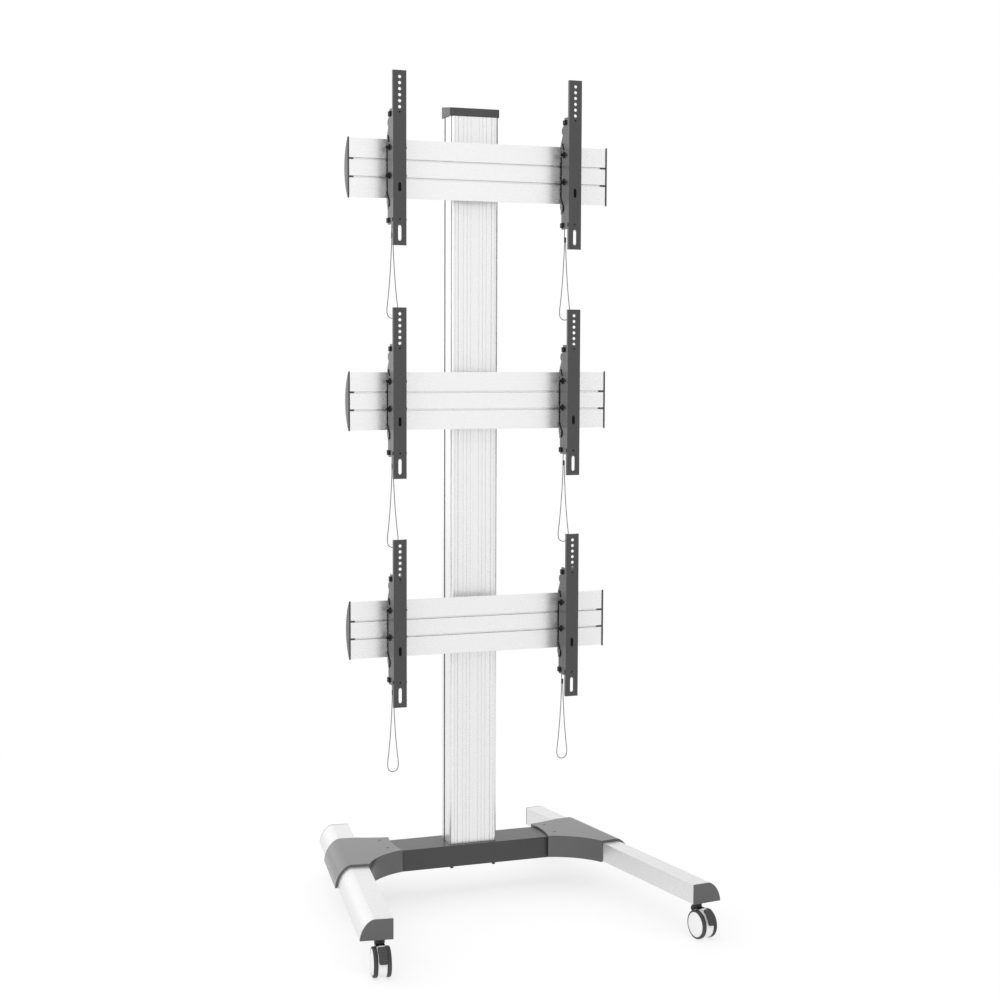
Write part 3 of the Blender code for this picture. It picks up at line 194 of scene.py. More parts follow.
PAD_PLACES = ((52.5 * MM, 109.5 * MM), (68.5 * MM, 387 * MM))
PAD_DEPTH = 15 * MM
PAD_HEIGHT = 12.8 * MM
PAD_MARGIN = 0.25 * MM
PAD_BASE = (0.05 * MM, 3.6 * MM)
PAD_LUGS = (3.5 * MM, 4.4 * MM)
PAD_LUG_GAP = 0.7 * MM
PAD_LUG_EDGE = 0.5 * MM
SLIT_PAST_INNER = 0.2 * MM
SLIT_PAST_OUTER = 1 * MM
PLATE_SLITS = ((68 * MM, 84.7 * MM, 2.2 * MM, 8.5 * MM), (66 * MM, 345 * MM, 3.4 * MM, 10.5 * MM))

# Painted shade: black pads pushed into the openings of an arm, through (depth, half width, half height) in mm
ARM_SHADE_PLUG_DROPS = (107.8 * MM, 386.8 * MM)
ARM_SHADE_PLUG = (
    (-0.35, 1.1, 1.1), (-0.32, 1.7, 1.7), (-0.2, 2.3, 2.3), (-0.02, 2.45, 2.45), (0.0, 1.9, 1.9),
    (2.52, 1.9, 1.9), (2.6, 3.2, 3.2), (3.3, 3.2, 3.2), (3.5, 2.9, 2.9),
)
ARM_SHADE_FELT_DROP = 302.75 * MM
ARM_SHADE_FELT = (
    (0.12, 4.0, 12.55), (0.25, 4.17, 12.7), (2.52, 4.17, 12.7), (2.6, 6.2, 14.75), (3.8, 6.2, 14.75),
    (4.0, 5.9, 14.45),
)

# Gusset screws: from the part's middle, from the beam's two long edges, and (radius, height) in mm
SCREW_ASIDE = 249.5 * MM
SCREW_FROM_FRONT = 22.3 * MM
SCREW_FROM_BACK = 10.1 * MM
SCREW_PROFILE = ((4.3, -0.8), (4.3, 0.12), (4.0, 0.3), (2.2, 0.3), (2.1, -0.6))

# Studio: the sky's level and slope, and its panels as (towards, inner and outer degrees, level there)
SKY_LEVEL = 1.46
SKY_SLOPE = (-0.46, -0.102, -0.02)
PANELS = (
    ((0.990, -0.139, 0), 30, 42, 0.10),
    ((-0.996, -0.087, 0), 20, 32, 0.10),
    ((-0.259, 0.940, 0.22), 22, 58, 1.12),
    ((0.760, 0.650, 0), 7, 15, 2.4),
)
KEY_POWER = 12
KEY_SIZE = 3.0
KEY_PLACE = (-2.6, -3.4, 4.2)
KEY_AIM = (0, 0, 1.1)
FLOOR_SHADE = 0.32
FLOOR_GLOW = 0.66
FLOOR_RADIUS = 12
FLOOR_FADE = (0.7, 2.6)
FLOOR_SUNK = 0.2 * MM


def place_camera():
    """The photograph's camera: focal length in frame widths, turned and pitched as fitted."""
    data = bpy.data.cameras.new("camera")
    data.sensor_width = SENSOR
    data.lens = CAMERA_FOCAL * SENSOR
    data.clip_end = 60
    camera = bpy.data.objects.new("camera", data)
    bpy.context.scene.collection.objects.link(camera)
    forward = Vector((
        math.sin(CAMERA_YAW) * math.cos(CAMERA_PITCH),
        math.cos(CAMERA_YAW) * math.cos(CAMERA_PITCH),
        math.sin(CAMERA_PITCH),
    ))
    level = Vector((math.cos(CAMERA_YAW), -math.sin(CAMERA_YAW), 0))
    upright = level.cross(forward)
    right = level * math.cos(CAMERA_ROLL) + upright * math.sin(CAMERA_ROLL)
    up = upright * math.cos(CAMERA_ROLL) - level * math.sin(CAMERA_ROLL)
    turn = Matrix((right, up, -forward)).transposed().to_4x4()
    column_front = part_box("column")[0].y
    place = Matrix.Translation((CAMERA_X, column_front - CAMERA_FROM_COLUMN, CAMERA_Z))
    camera.matrix_world = place @ turn
    bpy.context.scene.camera = camera


def mesh_piece(name, shape, smooth=None):
    """Links a bmesh as a piece; smooth is the angle in degrees above which an edge stays sharp."""
    mesh = bpy.data.meshes.new(name)
    bmesh.ops.recalc_face_normals(shape, faces=shape.faces)
    shape.to_mesh(mesh)
    shape.free()
    if smooth is not None:
        mesh.shade_smooth()
        mesh.set_sharp_from_angle(angle=math.radians(smooth))
    piece = bpy.data.objects.new(name, mesh)
    bpy.context.scene.collection.objects.link(piece)
    return piece


def dress(piece, surface, body):
    """Gives a new piece its material and the body that it rides on."""
    piece.data.materials.clear()
    piece.data.materials.append(surface)
    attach(piece, body)
    return piece


def smooth_curve(name, points, radius):
    """A round cord through the points, one open Bezier spline with flowing handles."""
    data = bpy.data.curves.new(name, "CURVE")
    data.dimensions = "3D"
    data.bevel_depth = radius
    data.bevel_resolution = 4
    data.resolution_u = 10
    data.use_fill_caps = True
    spline = data.splines.new("BEZIER")
    spline.bezier_points.add(len(points) - 1)
    before = [points[0], *points[:-1]]
    after = [*points[1:], points[-1]]
    for knot, low, place, high in zip(spline.bezier_points, before, points, after):
        flow = (high - low).normalized()
        knot.co = place
        knot.handle_left_type = knot.handle_right_type = "FREE"
        knot.handle_left = place - flow * (place - low).length / 3
        knot.handle_right = place + flow * (high - place).length / 3
    curve = bpy.data.objects.new(name, data)
    bpy.context.scene.collection.objects.link(curve)
    return curve


def cord_points(middle, rail_z, rail_front):
    """The route's points, repeated from the CAD source: catch, crimp, loop and back into the crimp."""
    y = rail_front + CORD_SETBACK
    start = -RAIL_HEIGHT / 2 - LATCH_DROP - CLEARANCE
    crimp_top = ARM_ABOVE_RAIL - CORD_CRIMP_DROP
    crimp_foot = crimp_top - CORD_CRIMP_LENGTH
    foot = ARM_ABOVE_RAIL - CORD_FOOT_DROP + CORD_RADIUS
    half = CORD_LOOP_WIDTH / 2
    length = crimp_foot - foot
    left = [(CORD_BESIDE, crimp_foot + CORD_CRIMP_LENGTH / 2)]
    left += [(out * half, crimp_foot - down * length) for out, down in CORD_LOOP]
    down = [(0, start), (-CORD_BESIDE, crimp_top + CORD_CRIMP_LENGTH / 2), *((-u, v) for u, v in left)]
    flat = [*down, (0, foot), *reversed(left)]
    return [Vector((middle + x, y, rail_z + z)) for x, z in flat]


def ring_of(shape, centre, across, along, radius_a, radius_b, steps):
    """A ring of vertices round centre in the plane of two directions."""
    ring = []
    for i in range(steps):
        turn = 2 * math.pi * i / steps
        ring.append(shape.verts.new(
            centre + across * radius_a * math.cos(turn) + along * radius_b * math.sin(turn)
        ))
    return ring


def bridge(shape, low, high):
    """A band of faces between two rings."""
    for i in range(len(low)):
        j = (i + 1) % len(low)
        shape.faces.new((low[i], low[j], high[j], high[i]))


def loft(shape, rings):
    """Joins each ring to the next and closes both ends."""
    for low, high in zip(rings, rings[1:]):
        bridge(shape, low, high)
    shape.faces.new(rings[0])
    shape.faces.new(rings[-1])


def round_edges(piece, width, segments):
    """Rounds a piece's sharp edges with a modifier."""
    edge = piece.modifiers.new("edge", "BEVEL")
    edge.width = width
    edge.segments = segments
    edge.limit_method = "ANGLE"
    return edge


def make_crimp(name, middle, y, foot):
    """A flattened sleeve with two pressed waists."""
    across, along = Vector((1, 0, 0)), Vector((0, 1, 0))
    wide, deep = CORD_CRIMP_RADIUS + CORD_CRIMP_WIDER, CORD_CRIMP_RADIUS
    shape = bmesh.new()
    rings = []
    for share, swell in CRIMP_WAISTS:
        centre = Vector((middle, y, foot + share * CORD_CRIMP_LENGTH))
        rings.append(ring_of(shape, centre, across, along, wide * swell, deep * swell, 28))
    loft(shape, rings)
    return mesh_piece(name, shape, 40)


def make_cords(fibre, crimp_metal):
    """The six pull cords, each made with its crimp, both riding on the catch."""
    for row in ROWS:
        rail_low, rail_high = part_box(f"rail_{row}")
        rail_z = (rail_low.z + rail_high.z) / 2
        for side in SIDES:
            arm_low, arm_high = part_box(f"display_arm_{row}_{side}")
            middle = (arm_low.x + arm_high.x) / 2
            points = cord_points(middle, rail_z, rail_low.y)
            cord = smooth_curve(f"cord_{row}_{side}", points, CORD_RADIUS)
            foot = rail_z + ARM_ABOVE_RAIL - CORD_CRIMP_DROP - CORD_CRIMP_LENGTH
            crimp = make_crimp(f"crimp_{row}_{side}", middle, points[0].y, foot)
            body = f"catch_{row}_{side}"
            dress(crimp, crimp_metal, body)
            dress(cord, fibre, body)
            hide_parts(f"pull_cord_{row}_{side}")


class Surface:
    """A procedural material: a Principled shader with helpers for its grain, colour and relief."""

    def __init__(self, name, roughness, metallic=0.0, gloss=0.5):
        self.material = bpy.data.materials.new(name)
        self.material.use_nodes = True
        self.nodes = self.material.node_tree.nodes
        self.links = self.material.node_tree.links
        self.shader = self.nodes["Principled BSDF"]
        self.shader.inputs["Roughness"].default_value = roughness
        self.shader.inputs["Metallic"].default_value = metallic
        self.shader.inputs["Specular IOR Level"].default_value = gloss
        self.place = self.nodes.new("ShaderNodeTexCoord").outputs["Object"]
        self.relief = None

    def grain(self, scale, stretch=(1, 1, 1), detail=4):
        """Noise of that many features to the metre, drawn out along the axes with a small stretch."""
        mapping = self.nodes.new("ShaderNodeMapping")
        mapping.inputs["Scale"].default_value = stretch
        noise = self.nodes.new("ShaderNodeTexNoise")
        noise.inputs["Scale"].default_value = scale
        noise.inputs["Detail"].default_value = detail
        self.links.new(self.place, mapping.inputs["Vector"])
        self.links.new(mapping.outputs["Vector"], noise.inputs["Vector"])
        return noise.outputs["Fac"]

    def ramp(self, value, low, high, at_low=0.0, at_high=1.0):
        """Maps a value from low...high to at_low...at_high."""
        spread = self.nodes.new("ShaderNodeMapRange")
        for name, number in (("From Min", low), ("From Max", high), ("To Min", at_low), ("To Max", at_high)):
            spread.inputs[name].default_value = number
        self.links.new(value, spread.inputs["Value"])
        return spread.outputs["Result"]

    def math(self, operation, first, second):
        """Joins two values or numbers by an operation."""
        made = self.nodes.new("ShaderNodeMath")
        made.operation = operation
        for socket, value in zip(made.inputs, (first, second)):
            if isinstance(value, (int, float)):
                socket.default_value = value
            else:
                self.links.new(value, socket)
        return made.outputs["Value"]

    def mix(self, factor, first, second):
        """Blends two colours, each a fixed one or another node's."""
        blend = self.nodes.new("ShaderNodeMix")
        blend.data_type = "RGBA"
        for socket, colour in ((blend.inputs[6], first), (blend.inputs[7], second)):
            if isinstance(colour, tuple):
                socket.default_value = (*colour, 1)
            else:
                self.links.new(colour, socket)
        self.links.new(factor, blend.inputs["Factor"])
        return blend.outputs[2]

    def edges(self, radius):
        """1 along convex and concave edges and 0 on the flats, from a rounded normal."""
        rounded = self.nodes.new("ShaderNodeBevel")
        rounded.samples = 4
        rounded.inputs["Radius"].default_value = radius
        flat = self.nodes.new("ShaderNodeNewGeometry")
        product = self.nodes.new("ShaderNodeVectorMath")
        product.operation = "DOT_PRODUCT"
        self.links.new(rounded.outputs["Normal"], product.inputs[0])
        self.links.new(flat.outputs["True Normal"], product.inputs[1])
        return self.ramp(product.outputs["Value"], 0.98, 0.80)

    def colour(self, value):
        """Sets the base colour."""
        self.links.new(value, self.shader.inputs["Base Color"])

    def roughen(self, value):
        """Sets the roughness."""
        self.links.new(value, self.shader.inputs["Roughness"])

    def bump(self, value, strength, distance):
        """Adds relief on top of any relief that the material already has."""
        made = self.nodes.new("ShaderNodeBump")
        made.inputs["Strength"].default_value = strength
        made.inputs["Distance"].default_value = distance
        self.links.new(value, made.inputs["Height"])
        if self.relief is not None:
            self.links.new(self.relief, made.inputs["Normal"])
        self.relief = made.outputs["Normal"]
        self.links.new(self.relief, self.shader.inputs["Normal"])


def anodised(name, along, tone=0.80, speckle=0.05, drawn=0.35, relief=0.10, edge=0.5):
    """Silver anodised extrusion: straight die lines, a satin speckle, faint clouds and a painted highlight
    along the edges.
    """
    surface = Surface(name, 0.3, 0.75)
    stretch = tuple(0.0004 if axis == along else 1 for axis in "xyz")
    lines = surface.grain(900, stretch, 3)
    cloud = surface.grain(7, tuple(0.15 if axis == along else 1 for axis in "xyz"), 2)
    satin = surface.grain(520, tuple(0.6 if axis == along else 1 for axis in "xyz"), 3)
    low, high = (tone * (1 - speckle),) * 3, (tone * (1 + speckle),) * 3
    base = surface.mix(surface.ramp(satin, 0.32, 0.68), low, high)
    clouded = surface.mix(surface.ramp(cloud, 0.3, 0.7, 0, 0.35), base, (tone, tone, 1.006 * tone))
    lined = surface.mix(surface.ramp(lines, 0.42, 0.75, 0, drawn), clouded, (0.9 * tone,) * 3)
    # Painted highlight: near white along every edge, over a width of edge millimetres
    surface.colour(surface.mix(surface.edges(edge * MM), lined, (0.97, 0.97, 0.97)))
    drawn_sheen = surface.ramp(lines, 0.3, 0.7, 0.23, 0.31)
    surface.roughen(surface.math("ADD", drawn_sheen, surface.ramp(satin, 0.3, 0.7, 0, 0.06)))
    surface.bump(lines, relief, 0.04 * MM)
    surface.bump(satin, relief, 0.05 * MM)
    return surface.material


def powder(name, colour, scale=1500, worn=0.16, depth=0.05, roughness=0.36, metallic=0.0):
    """Powder coat: orange-peel grain, faint mottling and paler rubbed edges."""
    surface = Surface(name, roughness, metallic)
    dull = (colour, colour, 1.02 * colour)
    mottle = surface.ramp(surface.grain(45, detail=5), 0.3, 0.75)
    tone = surface.mix(mottle, dull, tuple(1.07 * c for c in dull))
    rubbed = surface.ramp(surface.grain(60, detail=6), 0.45, 0.65)
    edge = surface.math("MULTIPLY", surface.edges(0.8 * MM), rubbed)
    surface.colour(surface.mix(edge, tone, (worn,) * 3))
    surface.roughen(surface.ramp(mottle, 0, 1, roughness - 0.02, roughness + 0.03))
    surface.bump(surface.grain(scale, detail=2), 0.3, depth * MM)
    return surface.material


def moulded(name, colour, roughness=0.5, scale=2600, depth=0.05, worn=None, gloss=0.5):
    """Moulded plastic: fine spark-eroded grain, faint flow clouds and softened edges."""
    surface = Surface(name, roughness, gloss=gloss)
    plain = (colour, colour, 1.01 * colour)
    cloud = surface.ramp(surface.grain(18, detail=3), 0.3, 0.7)
    tone = surface.mix(cloud, plain, tuple(1.05 * c for c in plain))
    if worn:
        tone = surface.mix(surface.edges(0.5 * MM), tone, (worn,) * 3)
    surface.colour(tone)
    surface.roughen(surface.ramp(surface.grain(240, detail=4), 0.3, 0.7, roughness - 0.04, roughness + 0.04))
    surface.bump(surface.grain(scale, detail=2), 0.25, depth * MM)
    return surface.material


def zinc(name, low=0.50, high=0.70):
    """Zinc plating: small soft spangles and fine scratches."""
    surface = Surface(name, 0.35, 0.9)
    spangle = surface.nodes.new("ShaderNodeTexVoronoi")
    spangle.inputs["Scale"].default_value = 420
    surface.links.new(surface.place, spangle.inputs["Vector"])
    fleck = surface.ramp(spangle.outputs["Distance"], 0, 0.8)
    surface.colour(surface.mix(fleck, (low, low, 1.03 * low), (high,) * 3))
    surface.roughen(surface.ramp(surface.grain(300, (1, 1, 0.1)), 0.3, 0.7, 0.26, 0.46))
    surface.bump(surface.grain(900, (1, 1, 0.05)), 0.15, 0.04 * MM)
    return surface.material


def rubber(name, colour=0.03):
    """Matte rubber: dusty mottling over a fine pore grain."""
    surface = Surface(name, 0.6)
    dust = surface.ramp(surface.grain(55, detail=6), 0.45, 0.75)
    surface.colour(surface.mix(dust, (colour,) * 3, (1.5 * colour,) * 3))
    surface.bump(surface.grain(3200, detail=2), 0.3, 0.05 * MM)
    return surface.material


def shade_felt(name, colour=0.006):
    """Black felt for painted shade in slots, openings and gaps: matted fibres that hardly shine."""
    surface = Surface(name, 0.95, gloss=0.05)
    matted = surface.ramp(surface.grain(700, (1, 1, 0.3), 5), 0.35, 0.7)
    surface.colour(surface.mix(matted, (colour,) * 3, (1.8 * colour,) * 3))
    surface.bump(surface.grain(1800, (1, 1, 0.4), 3), 0.5, 0.2 * MM)
    return surface.material


def braid(name, low=0.07, high=0.20):
    """Thin braided cord: crossing strands from two slanted waves."""
    surface = Surface(name, 0.75)
    waves = []
    for slant in (1, -1):
        mapping = surface.nodes.new("ShaderNodeMapping")
        mapping.inputs["Rotation"].default_value = (slant * 0.7, slant * 0.7, 0)
        wave = surface.nodes.new("ShaderNodeTexWave")
        wave.bands_direction = "Z"
        wave.inputs["Scale"].default_value = 260
        wave.inputs["Distortion"].default_value = 0.4
        surface.links.new(surface.place, mapping.inputs["Vector"])
        surface.links.new(mapping.outputs["Vector"], wave.inputs["Vector"])
        waves.append(wave.outputs["Fac"])
    crossed = surface.math("MAXIMUM", waves[0], waves[1])
    surface.colour(surface.mix(crossed, (low,) * 3, (high,) * 3))
    surface.bump(crossed, 0.5, 0.12 * MM)
    return surface.material


def refined(node, body, surface, width, segments=2, smooth=32, slits=None):
    """Stands for a CAD node: the same solid with its flat faces merged and its edges rounded."""
    shape = bmesh.new()
    shape.from_mesh(frame["nodes"][node].data)
    bmesh.ops.remove_doubles(shape, verts=shape.verts, dist=0.01 * MM)
    bmesh.ops.dissolve_limit(shape, angle_limit=0.002, verts=shape.verts, edges=shape.edges)
    piece = mesh_piece(f"{node}_look", shape, smooth)
    if slits:
        pierce(piece, slits, smooth)
    edge = round_edges(piece, width, segments)
    edge.angle_limit = math.radians(smooth)
    edge.use_clamp_overlap = True
    edge.harden_normals = True
    flats = piece.modifiers.new("flats", "WEIGHTED_NORMAL")
    flats.weight = 60
    flats.keep_sharp = True
    dress(piece, surface, body)
    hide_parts(node)
    return piece


def pierce(piece, cutter, smooth, fresh=True):
    """Cuts a mesh out of a piece for good; a piece that isn't fresh keeps its own modifiers."""
    kept = [(m, m.show_viewport) for m in piece.modifiers]
    for modifier, _ in kept:
        modifier.show_viewport = False
    step = piece.modifiers.new("pierce", "BOOLEAN")
    step.operation = "DIFFERENCE"
    step.solver = "EXACT"
    step.object = cutter
    graph = bpy.context.evaluated_depsgraph_get()
    piece.data = bpy.data.meshes.new_from_object(piece.evaluated_get(graph))
    if fresh:
        piece.modifiers.clear()
    else:
        piece.modifiers.remove(step)
        for modifier, shown in kept:
            modifier.show_viewport = shown
    piece.data.shade_smooth()
    piece.data.set_sharp_from_angle(angle=math.radians(smooth))
    bpy.data.objects.remove(cutter)


def prism_into(shape, outline, low, high, place):
    """Adds a closed prism of a (u, v) outline to a bmesh; place turns (across, u, v) into a world point."""
    first = [shape.verts.new(place(low, u, v)) for u, v in outline]
    second = [shape.verts.new(place(high, u, v)) for u, v in outline]
    shape.faces.new(first)
    shape.faces.new(second)
    bridge(shape, first, second)


def beside(middle):
    """Turns (across, y, z) into a world point, with across measured from an arm's middle."""
    return lambda across, y, z: Vector((middle + across, y, z))


def rounded_slot(centre_u, centre_v, half_width, half_height, steps=8):
    """An upright slot with round ends about a middle, or a circle if it is as high as it is wide."""
    points = []
    last = steps if half_width == half_height else steps + 1
    for start, way in ((0, 1), (180, -1)):
        for i in range(last):
            turn = math.radians(start + 180 * i / steps)
            points.append((
                centre_u + half_width * math.cos(turn),
                centre_v + way * (half_height - half_width) + half_width * math.sin(turn),
            ))
    return points


def slit_cutters(middle, shift, top):
    """The slits through both side plates of a bracket, and the room of its knobs, as one mesh."""
    shape = bmesh.new()
    for depth, drop, half_width, half_height in PLATE_SLITS:
        outline = rounded_slot(depth + shift, top - drop, half_width, half_height)
        for side in (-1, 1):
            low, high = side * (PLATE_INNER - SLIT_PAST_INNER), side * (PLATE_OUTER + SLIT_PAST_OUTER)
            prism_into(shape, outline, low, high, beside(middle))
    for drop in KNOB_DROPS:
        room = rounded_slot(KNOB_DEPTH + shift, top - drop, KNOB_ROOM, KNOB_ROOM, 12)
        for side in (-1, 1):
            low, high = side * (PLATE_OUTER + KNOB_ROOM_FROM), side * (PLATE_OUTER + KNOB_ROOM_TO)
            prism_into(shape, room, low, high, beside(middle))
    return mesh_piece("slit_cutters", shape)


def refine_frame(looks):
    """The base, the column and the three rows' large pieces."""
    base = "stand_base"
    refined("cross_beam", base, looks["beam"], 0.8 * MM)
    refine_column(base, looks)
    refined("column_cap", base, looks["cap_dark"], 0.7 * MM, 3)
    for side in SIDES:
        refined(f"leg_{side}", base, looks["silver_y"], 0.7 * MM)
        refined(f"corner_gusset_{side}", base, looks["casting"], 1.2 * MM, 3)
        for place in PLACES:
            refined(f"leg_end_cap_{side}_{place}", base, looks["moulding"], 0.6 * MM)
    for row in ROWS:
        carriage = f"carriage_{row}"
        refined(f"rail_{row}", carriage, looks["silver_x"], 0.3 * MM, 1)
        refined(f"rail_clamp_{row}", carriage, looks["powder"], 0.8 * MM)
        for side in SIDES:
            refined(f"rail_end_cap_{row}_{side}", carriage, looks["cap_dark"], 0.5 * MM)


def refine_column(base, looks):
    """The column, with painted shade at its side slots: felt inside them and a black lip along both edges of
    each slot.
    """
    column = refined("column", base, looks["silver_z"], 0.2 * MM, 1)
    low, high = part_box("column")
    middle_x, slot_y = (low.x + high.x) / 2, (low.y + high.y) / 2 + COLUMN_SLOT_OFFSET
    # Painted shade: faces deep inside each side slot get the black felt
    column.data.materials.append(looks["shade_felt"])
    for face in column.data.polygons:
        inside = high.x - middle_x - abs(face.center.x - middle_x)
        in_depth = SLOT_SHADE_DEPTHS[0] < inside < SLOT_SHADE_DEPTHS[1]
        if in_depth and abs(face.center.y - slot_y) < SLOT_SHADE_HALF:
            face.material_index = 1
    # Painted shade: a thin black lip along both edges of each slot widens its dark line
    for side in SIDES:
        sign = -1 if side == "left" else 1
        shape = bmesh.new()
        for way in (-1, 1):
            near, far = sorted((slot_y + way * SLOT_LIP_FROM, slot_y + way * SLOT_LIP_TO))
            lip = [
                (near, -SLOT_LIP_SUNK), (far, -SLOT_LIP_SUNK),
                (far - SLOT_LIP_CHAMFER, SLOT_LIP_PROUD), (near + SLOT_LIP_CHAMFER, SLOT_LIP_PROUD),
            ]
            prism_into(
                shape, lip, low.z + SLOT_LIP_END, high.z - SLOT_LIP_END,
                lambda z, y, out: Vector((middle_x + sign * (high.x - middle_x + out), y, z)),
            )
        dress(mesh_piece(f"slot_shade_lips_{side}", shape, 30), looks["black"], base)


def refine_arm(row, side, looks):
    """One display arm with its bracket, latch, knobs, pads and black wires, and painted shade: black backings
    in its openings and black edge strips before the rail.
    """
    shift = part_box("column")[0].y - COLUMN_FRONT
    low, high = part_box(f"display_arm_{row}_{side}")
    middle, top = (low.x + high.x) / 2, high.z
    tag = f"{row}_{side}"
    refined(f"display_arm_{tag}", f"arm_{tag}", looks["powder"], 0.35 * MM)
    slits = slit_cutters(middle, shift, top)
    body = f"bracket_{tag}"
    refined(f"hook_bracket_{tag}", body, looks["powder"], 0.3 * MM, 1, slits=slits)
    refined(f"latch_{tag}", f"catch_{tag}", looks["black"], 0.6 * MM)
    for number, drop in enumerate(KNOB_DROPS):
        bolt = Vector((middle, KNOB_DEPTH + shift, top - drop))
        knob = make_knob(f"knob_{tag}_{number}", bolt - Vector((0, KNOB_BEFORE_BOLT, 0)))
        dress(knob, looks["black"], body)
        tip = make_bolt_tip(f"bolt_tip_{tag}_{number}", bolt)
        dress(tip, looks["black"], body)
    for number, (depth, drop) in enumerate(PAD_PLACES):
        for sign, word in ((-1, "a"), (1, "b")):
            pad = make_pad(f"pad_{tag}_{number}{word}", Vector((middle, depth + shift, top - drop)), sign)
            dress(pad, looks["black"], body)
    # Painted shade: black felt in the arm's openings
    spots = [(ARM_SHADE_FELT_DROP, ARM_SHADE_FELT), *((drop, ARM_SHADE_PLUG) for drop in ARM_SHADE_PLUG_DROPS)]
    for number, (drop, levels) in enumerate(spots):
        web = Vector((middle, ARM_FRONT + shift, top - drop))
        spot = make_shade_backing(f"shade_backing_{tag}_{number}", web, levels)
        dress(spot, looks["shade_felt"], f"arm_{tag}")
    rail_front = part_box(f"rail_{row}")[0].y
    for side_sign, word in ((-1, "a"), (1, "b")):
        # Painted shade: a black strip in the gap before the rail
        strip = make_shade_strip(f"shade_strip_{tag}_{word}", middle, side_sign, rail_front, top)
        dress(strip, looks["shade_felt"], body)
        # Black wires on the plate; the upper one is painted shade, the hook's shadow at the rail's top edge
        for part, route in (("head", HOOK_SHADE_WIRE), ("foot", WIRE_FOOT)):
            out = middle + side_sign * (PLATE_OUTER + WIRE_RADIUS * WIRE_PROUD)
            points = [Vector((out, rail_front + deep * MM, top - drop * MM)) for deep, drop in route]
            black_wire = smooth_curve(f"spring_{part}_{tag}_{word}", points, WIRE_RADIUS)
            dress(black_wire, looks["black"], body)


def make_knob(name, centre):
    """A four-armed star knob on the plate's left: a foot, a thin star and a domed hub."""
    shape = bmesh.new()
    rings = []
    for reach, size, star in KNOB_LEVELS:
        ring = []
        for i in range(KNOB_STEPS):
            turn = 2 * math.pi * i / KNOB_STEPS
            lobes = (0.5 + 0.5 * math.cos(KNOB_ARMS * turn)) ** KNOB_SHARPNESS
            radius = size * (KNOB_WAIST + (KNOB_REACH - KNOB_WAIST) * lobes) if star else size * MM
            out = Vector((-reach * MM, radius * math.cos(turn), radius * math.sin(turn)))
            ring.append(shape.verts.new(centre + out))
        rings.append(ring)
    loft(shape, rings)
    return mesh_piece(name, shape, 35)


def make_bolt_tip(name, centre):
    """The far end of a cross bolt, with its domed cap and collar."""
    across, along = Vector((0, 1, 0)), Vector((0, 0, 1))
    shape = bmesh.new()
    rings = []
    for x, r in BOLT_TIP:
        rings.append(ring_of(shape, centre + Vector((x * MM, 0, 0)), across, along, r * MM, r * MM, 24))
    loft(shape, rings)
    return mesh_piece(name, shape, 35)


def make_pad(name, centre, sign):
    """A ribbed rubber pad on one side plate: a base with four raised lugs."""
    shape = bmesh.new()

    def place(x, y, z):
        return centre + Vector((x, y, z))

    def slab(low, high, y0, y1, z0, z1):
        prism_into(shape, [(y0, z0), (y1, z0), (y1, z1), (y0, z1)], sign * low, sign * high, place)

    deep, tall = PAD_DEPTH / 2 + PAD_MARGIN, PAD_HEIGHT / 2 + PAD_MARGIN
    slab(PLATE_OUTER + PAD_BASE[0], PLATE_OUTER + PAD_BASE[1], -deep, deep, -tall, tall)
    for y in (-1, 1):
        for z in (-1, 1):
            y0, y1 = sorted((y * PAD_LUG_GAP, y * (deep - PAD_LUG_EDGE)))
            z0, z1 = sorted((z * PAD_LUG_GAP, z * (tall - PAD_LUG_EDGE)))
            slab(PLATE_OUTER + PAD_LUGS[0], PLATE_OUTER + PAD_LUGS[1], y0, y1, z0, z1)
    pad = mesh_piece(name, shape, 30)
    round_edges(pad, 0.4 * MM, 2)
    return pad


def make_shade_strip(name, middle, side, rail_front, top):
    """Painted shade: a black strip along a side plate's back edge, which fills the gap before the rail so
    that the gap reads dark.
    """
    shape = bmesh.new()
    low, high = top - STRIP_DROPS[1], top - STRIP_DROPS[0]
    front, back = rail_front + PLATE_BACK - STRIP_INTO_PLATE, rail_front - STRIP_BEFORE_RAIL
    outline = [(front, low), (back - 1 * MM, low), (back, low + 2 * MM)]
    for i in range(1, STRIP_NOTCHES + 1):
        z = low + (high - low) * i / (STRIP_NOTCHES + 1)
        outline += [(back, z - NOTCH_MOUTH), (back - NOTCH_DEPTH, z - NOTCH_FLOOR)]
        outline += [(back - NOTCH_DEPTH, z + NOTCH_FLOOR), (back, z + NOTCH_MOUTH)]
    outline += [(back, high - 2 * MM), (back - 1 * MM, high), (front, high)]
    inner, outer = side * (PLATE_INNER + STRIP_SUNK), side * (PLATE_OUTER + STRIP_PROUD)
    prism_into(shape, outline, inner, outer, beside(middle))
    return mesh_piece(name, shape, 30)


def make_shade_backing(name, middle, levels):
    """Painted shade: a black pad pushed into an opening of the arm's web from behind, so that the opening
    reads dark.
    """
    shape = bmesh.new()
    rings = []
    for depth, half_width, half_height in levels:
        outline = rounded_slot(0, 0, half_width * MM, half_height * MM)
        rings.append([shape.verts.new(middle + Vector((u, depth * MM, v))) for u, v in outline])
    loft(shape, rings)
    return mesh_piece(name, shape, 35)


def castor_axes(place, side):
    """The axle's middle and direction, the stem's foot and the way ahead, from the record's joints."""
    joints = {joint["name"]: joint for joint in frame["joints"]}
    spin = joints[f"wheel_spin_{place}_{side}"]
    swivel = joints[f"swivel_{place}_{side}"]
    stem = Vector(swivel["pos_m"])
    centre = Vector(spin["pos_m"])
    ahead = Vector((centre.x - stem.x, centre.y - stem.y, 0)).normalized()
    return centre, Vector(spin["axis"]).normalized(), Vector((stem.x, stem.y, 0)), ahead


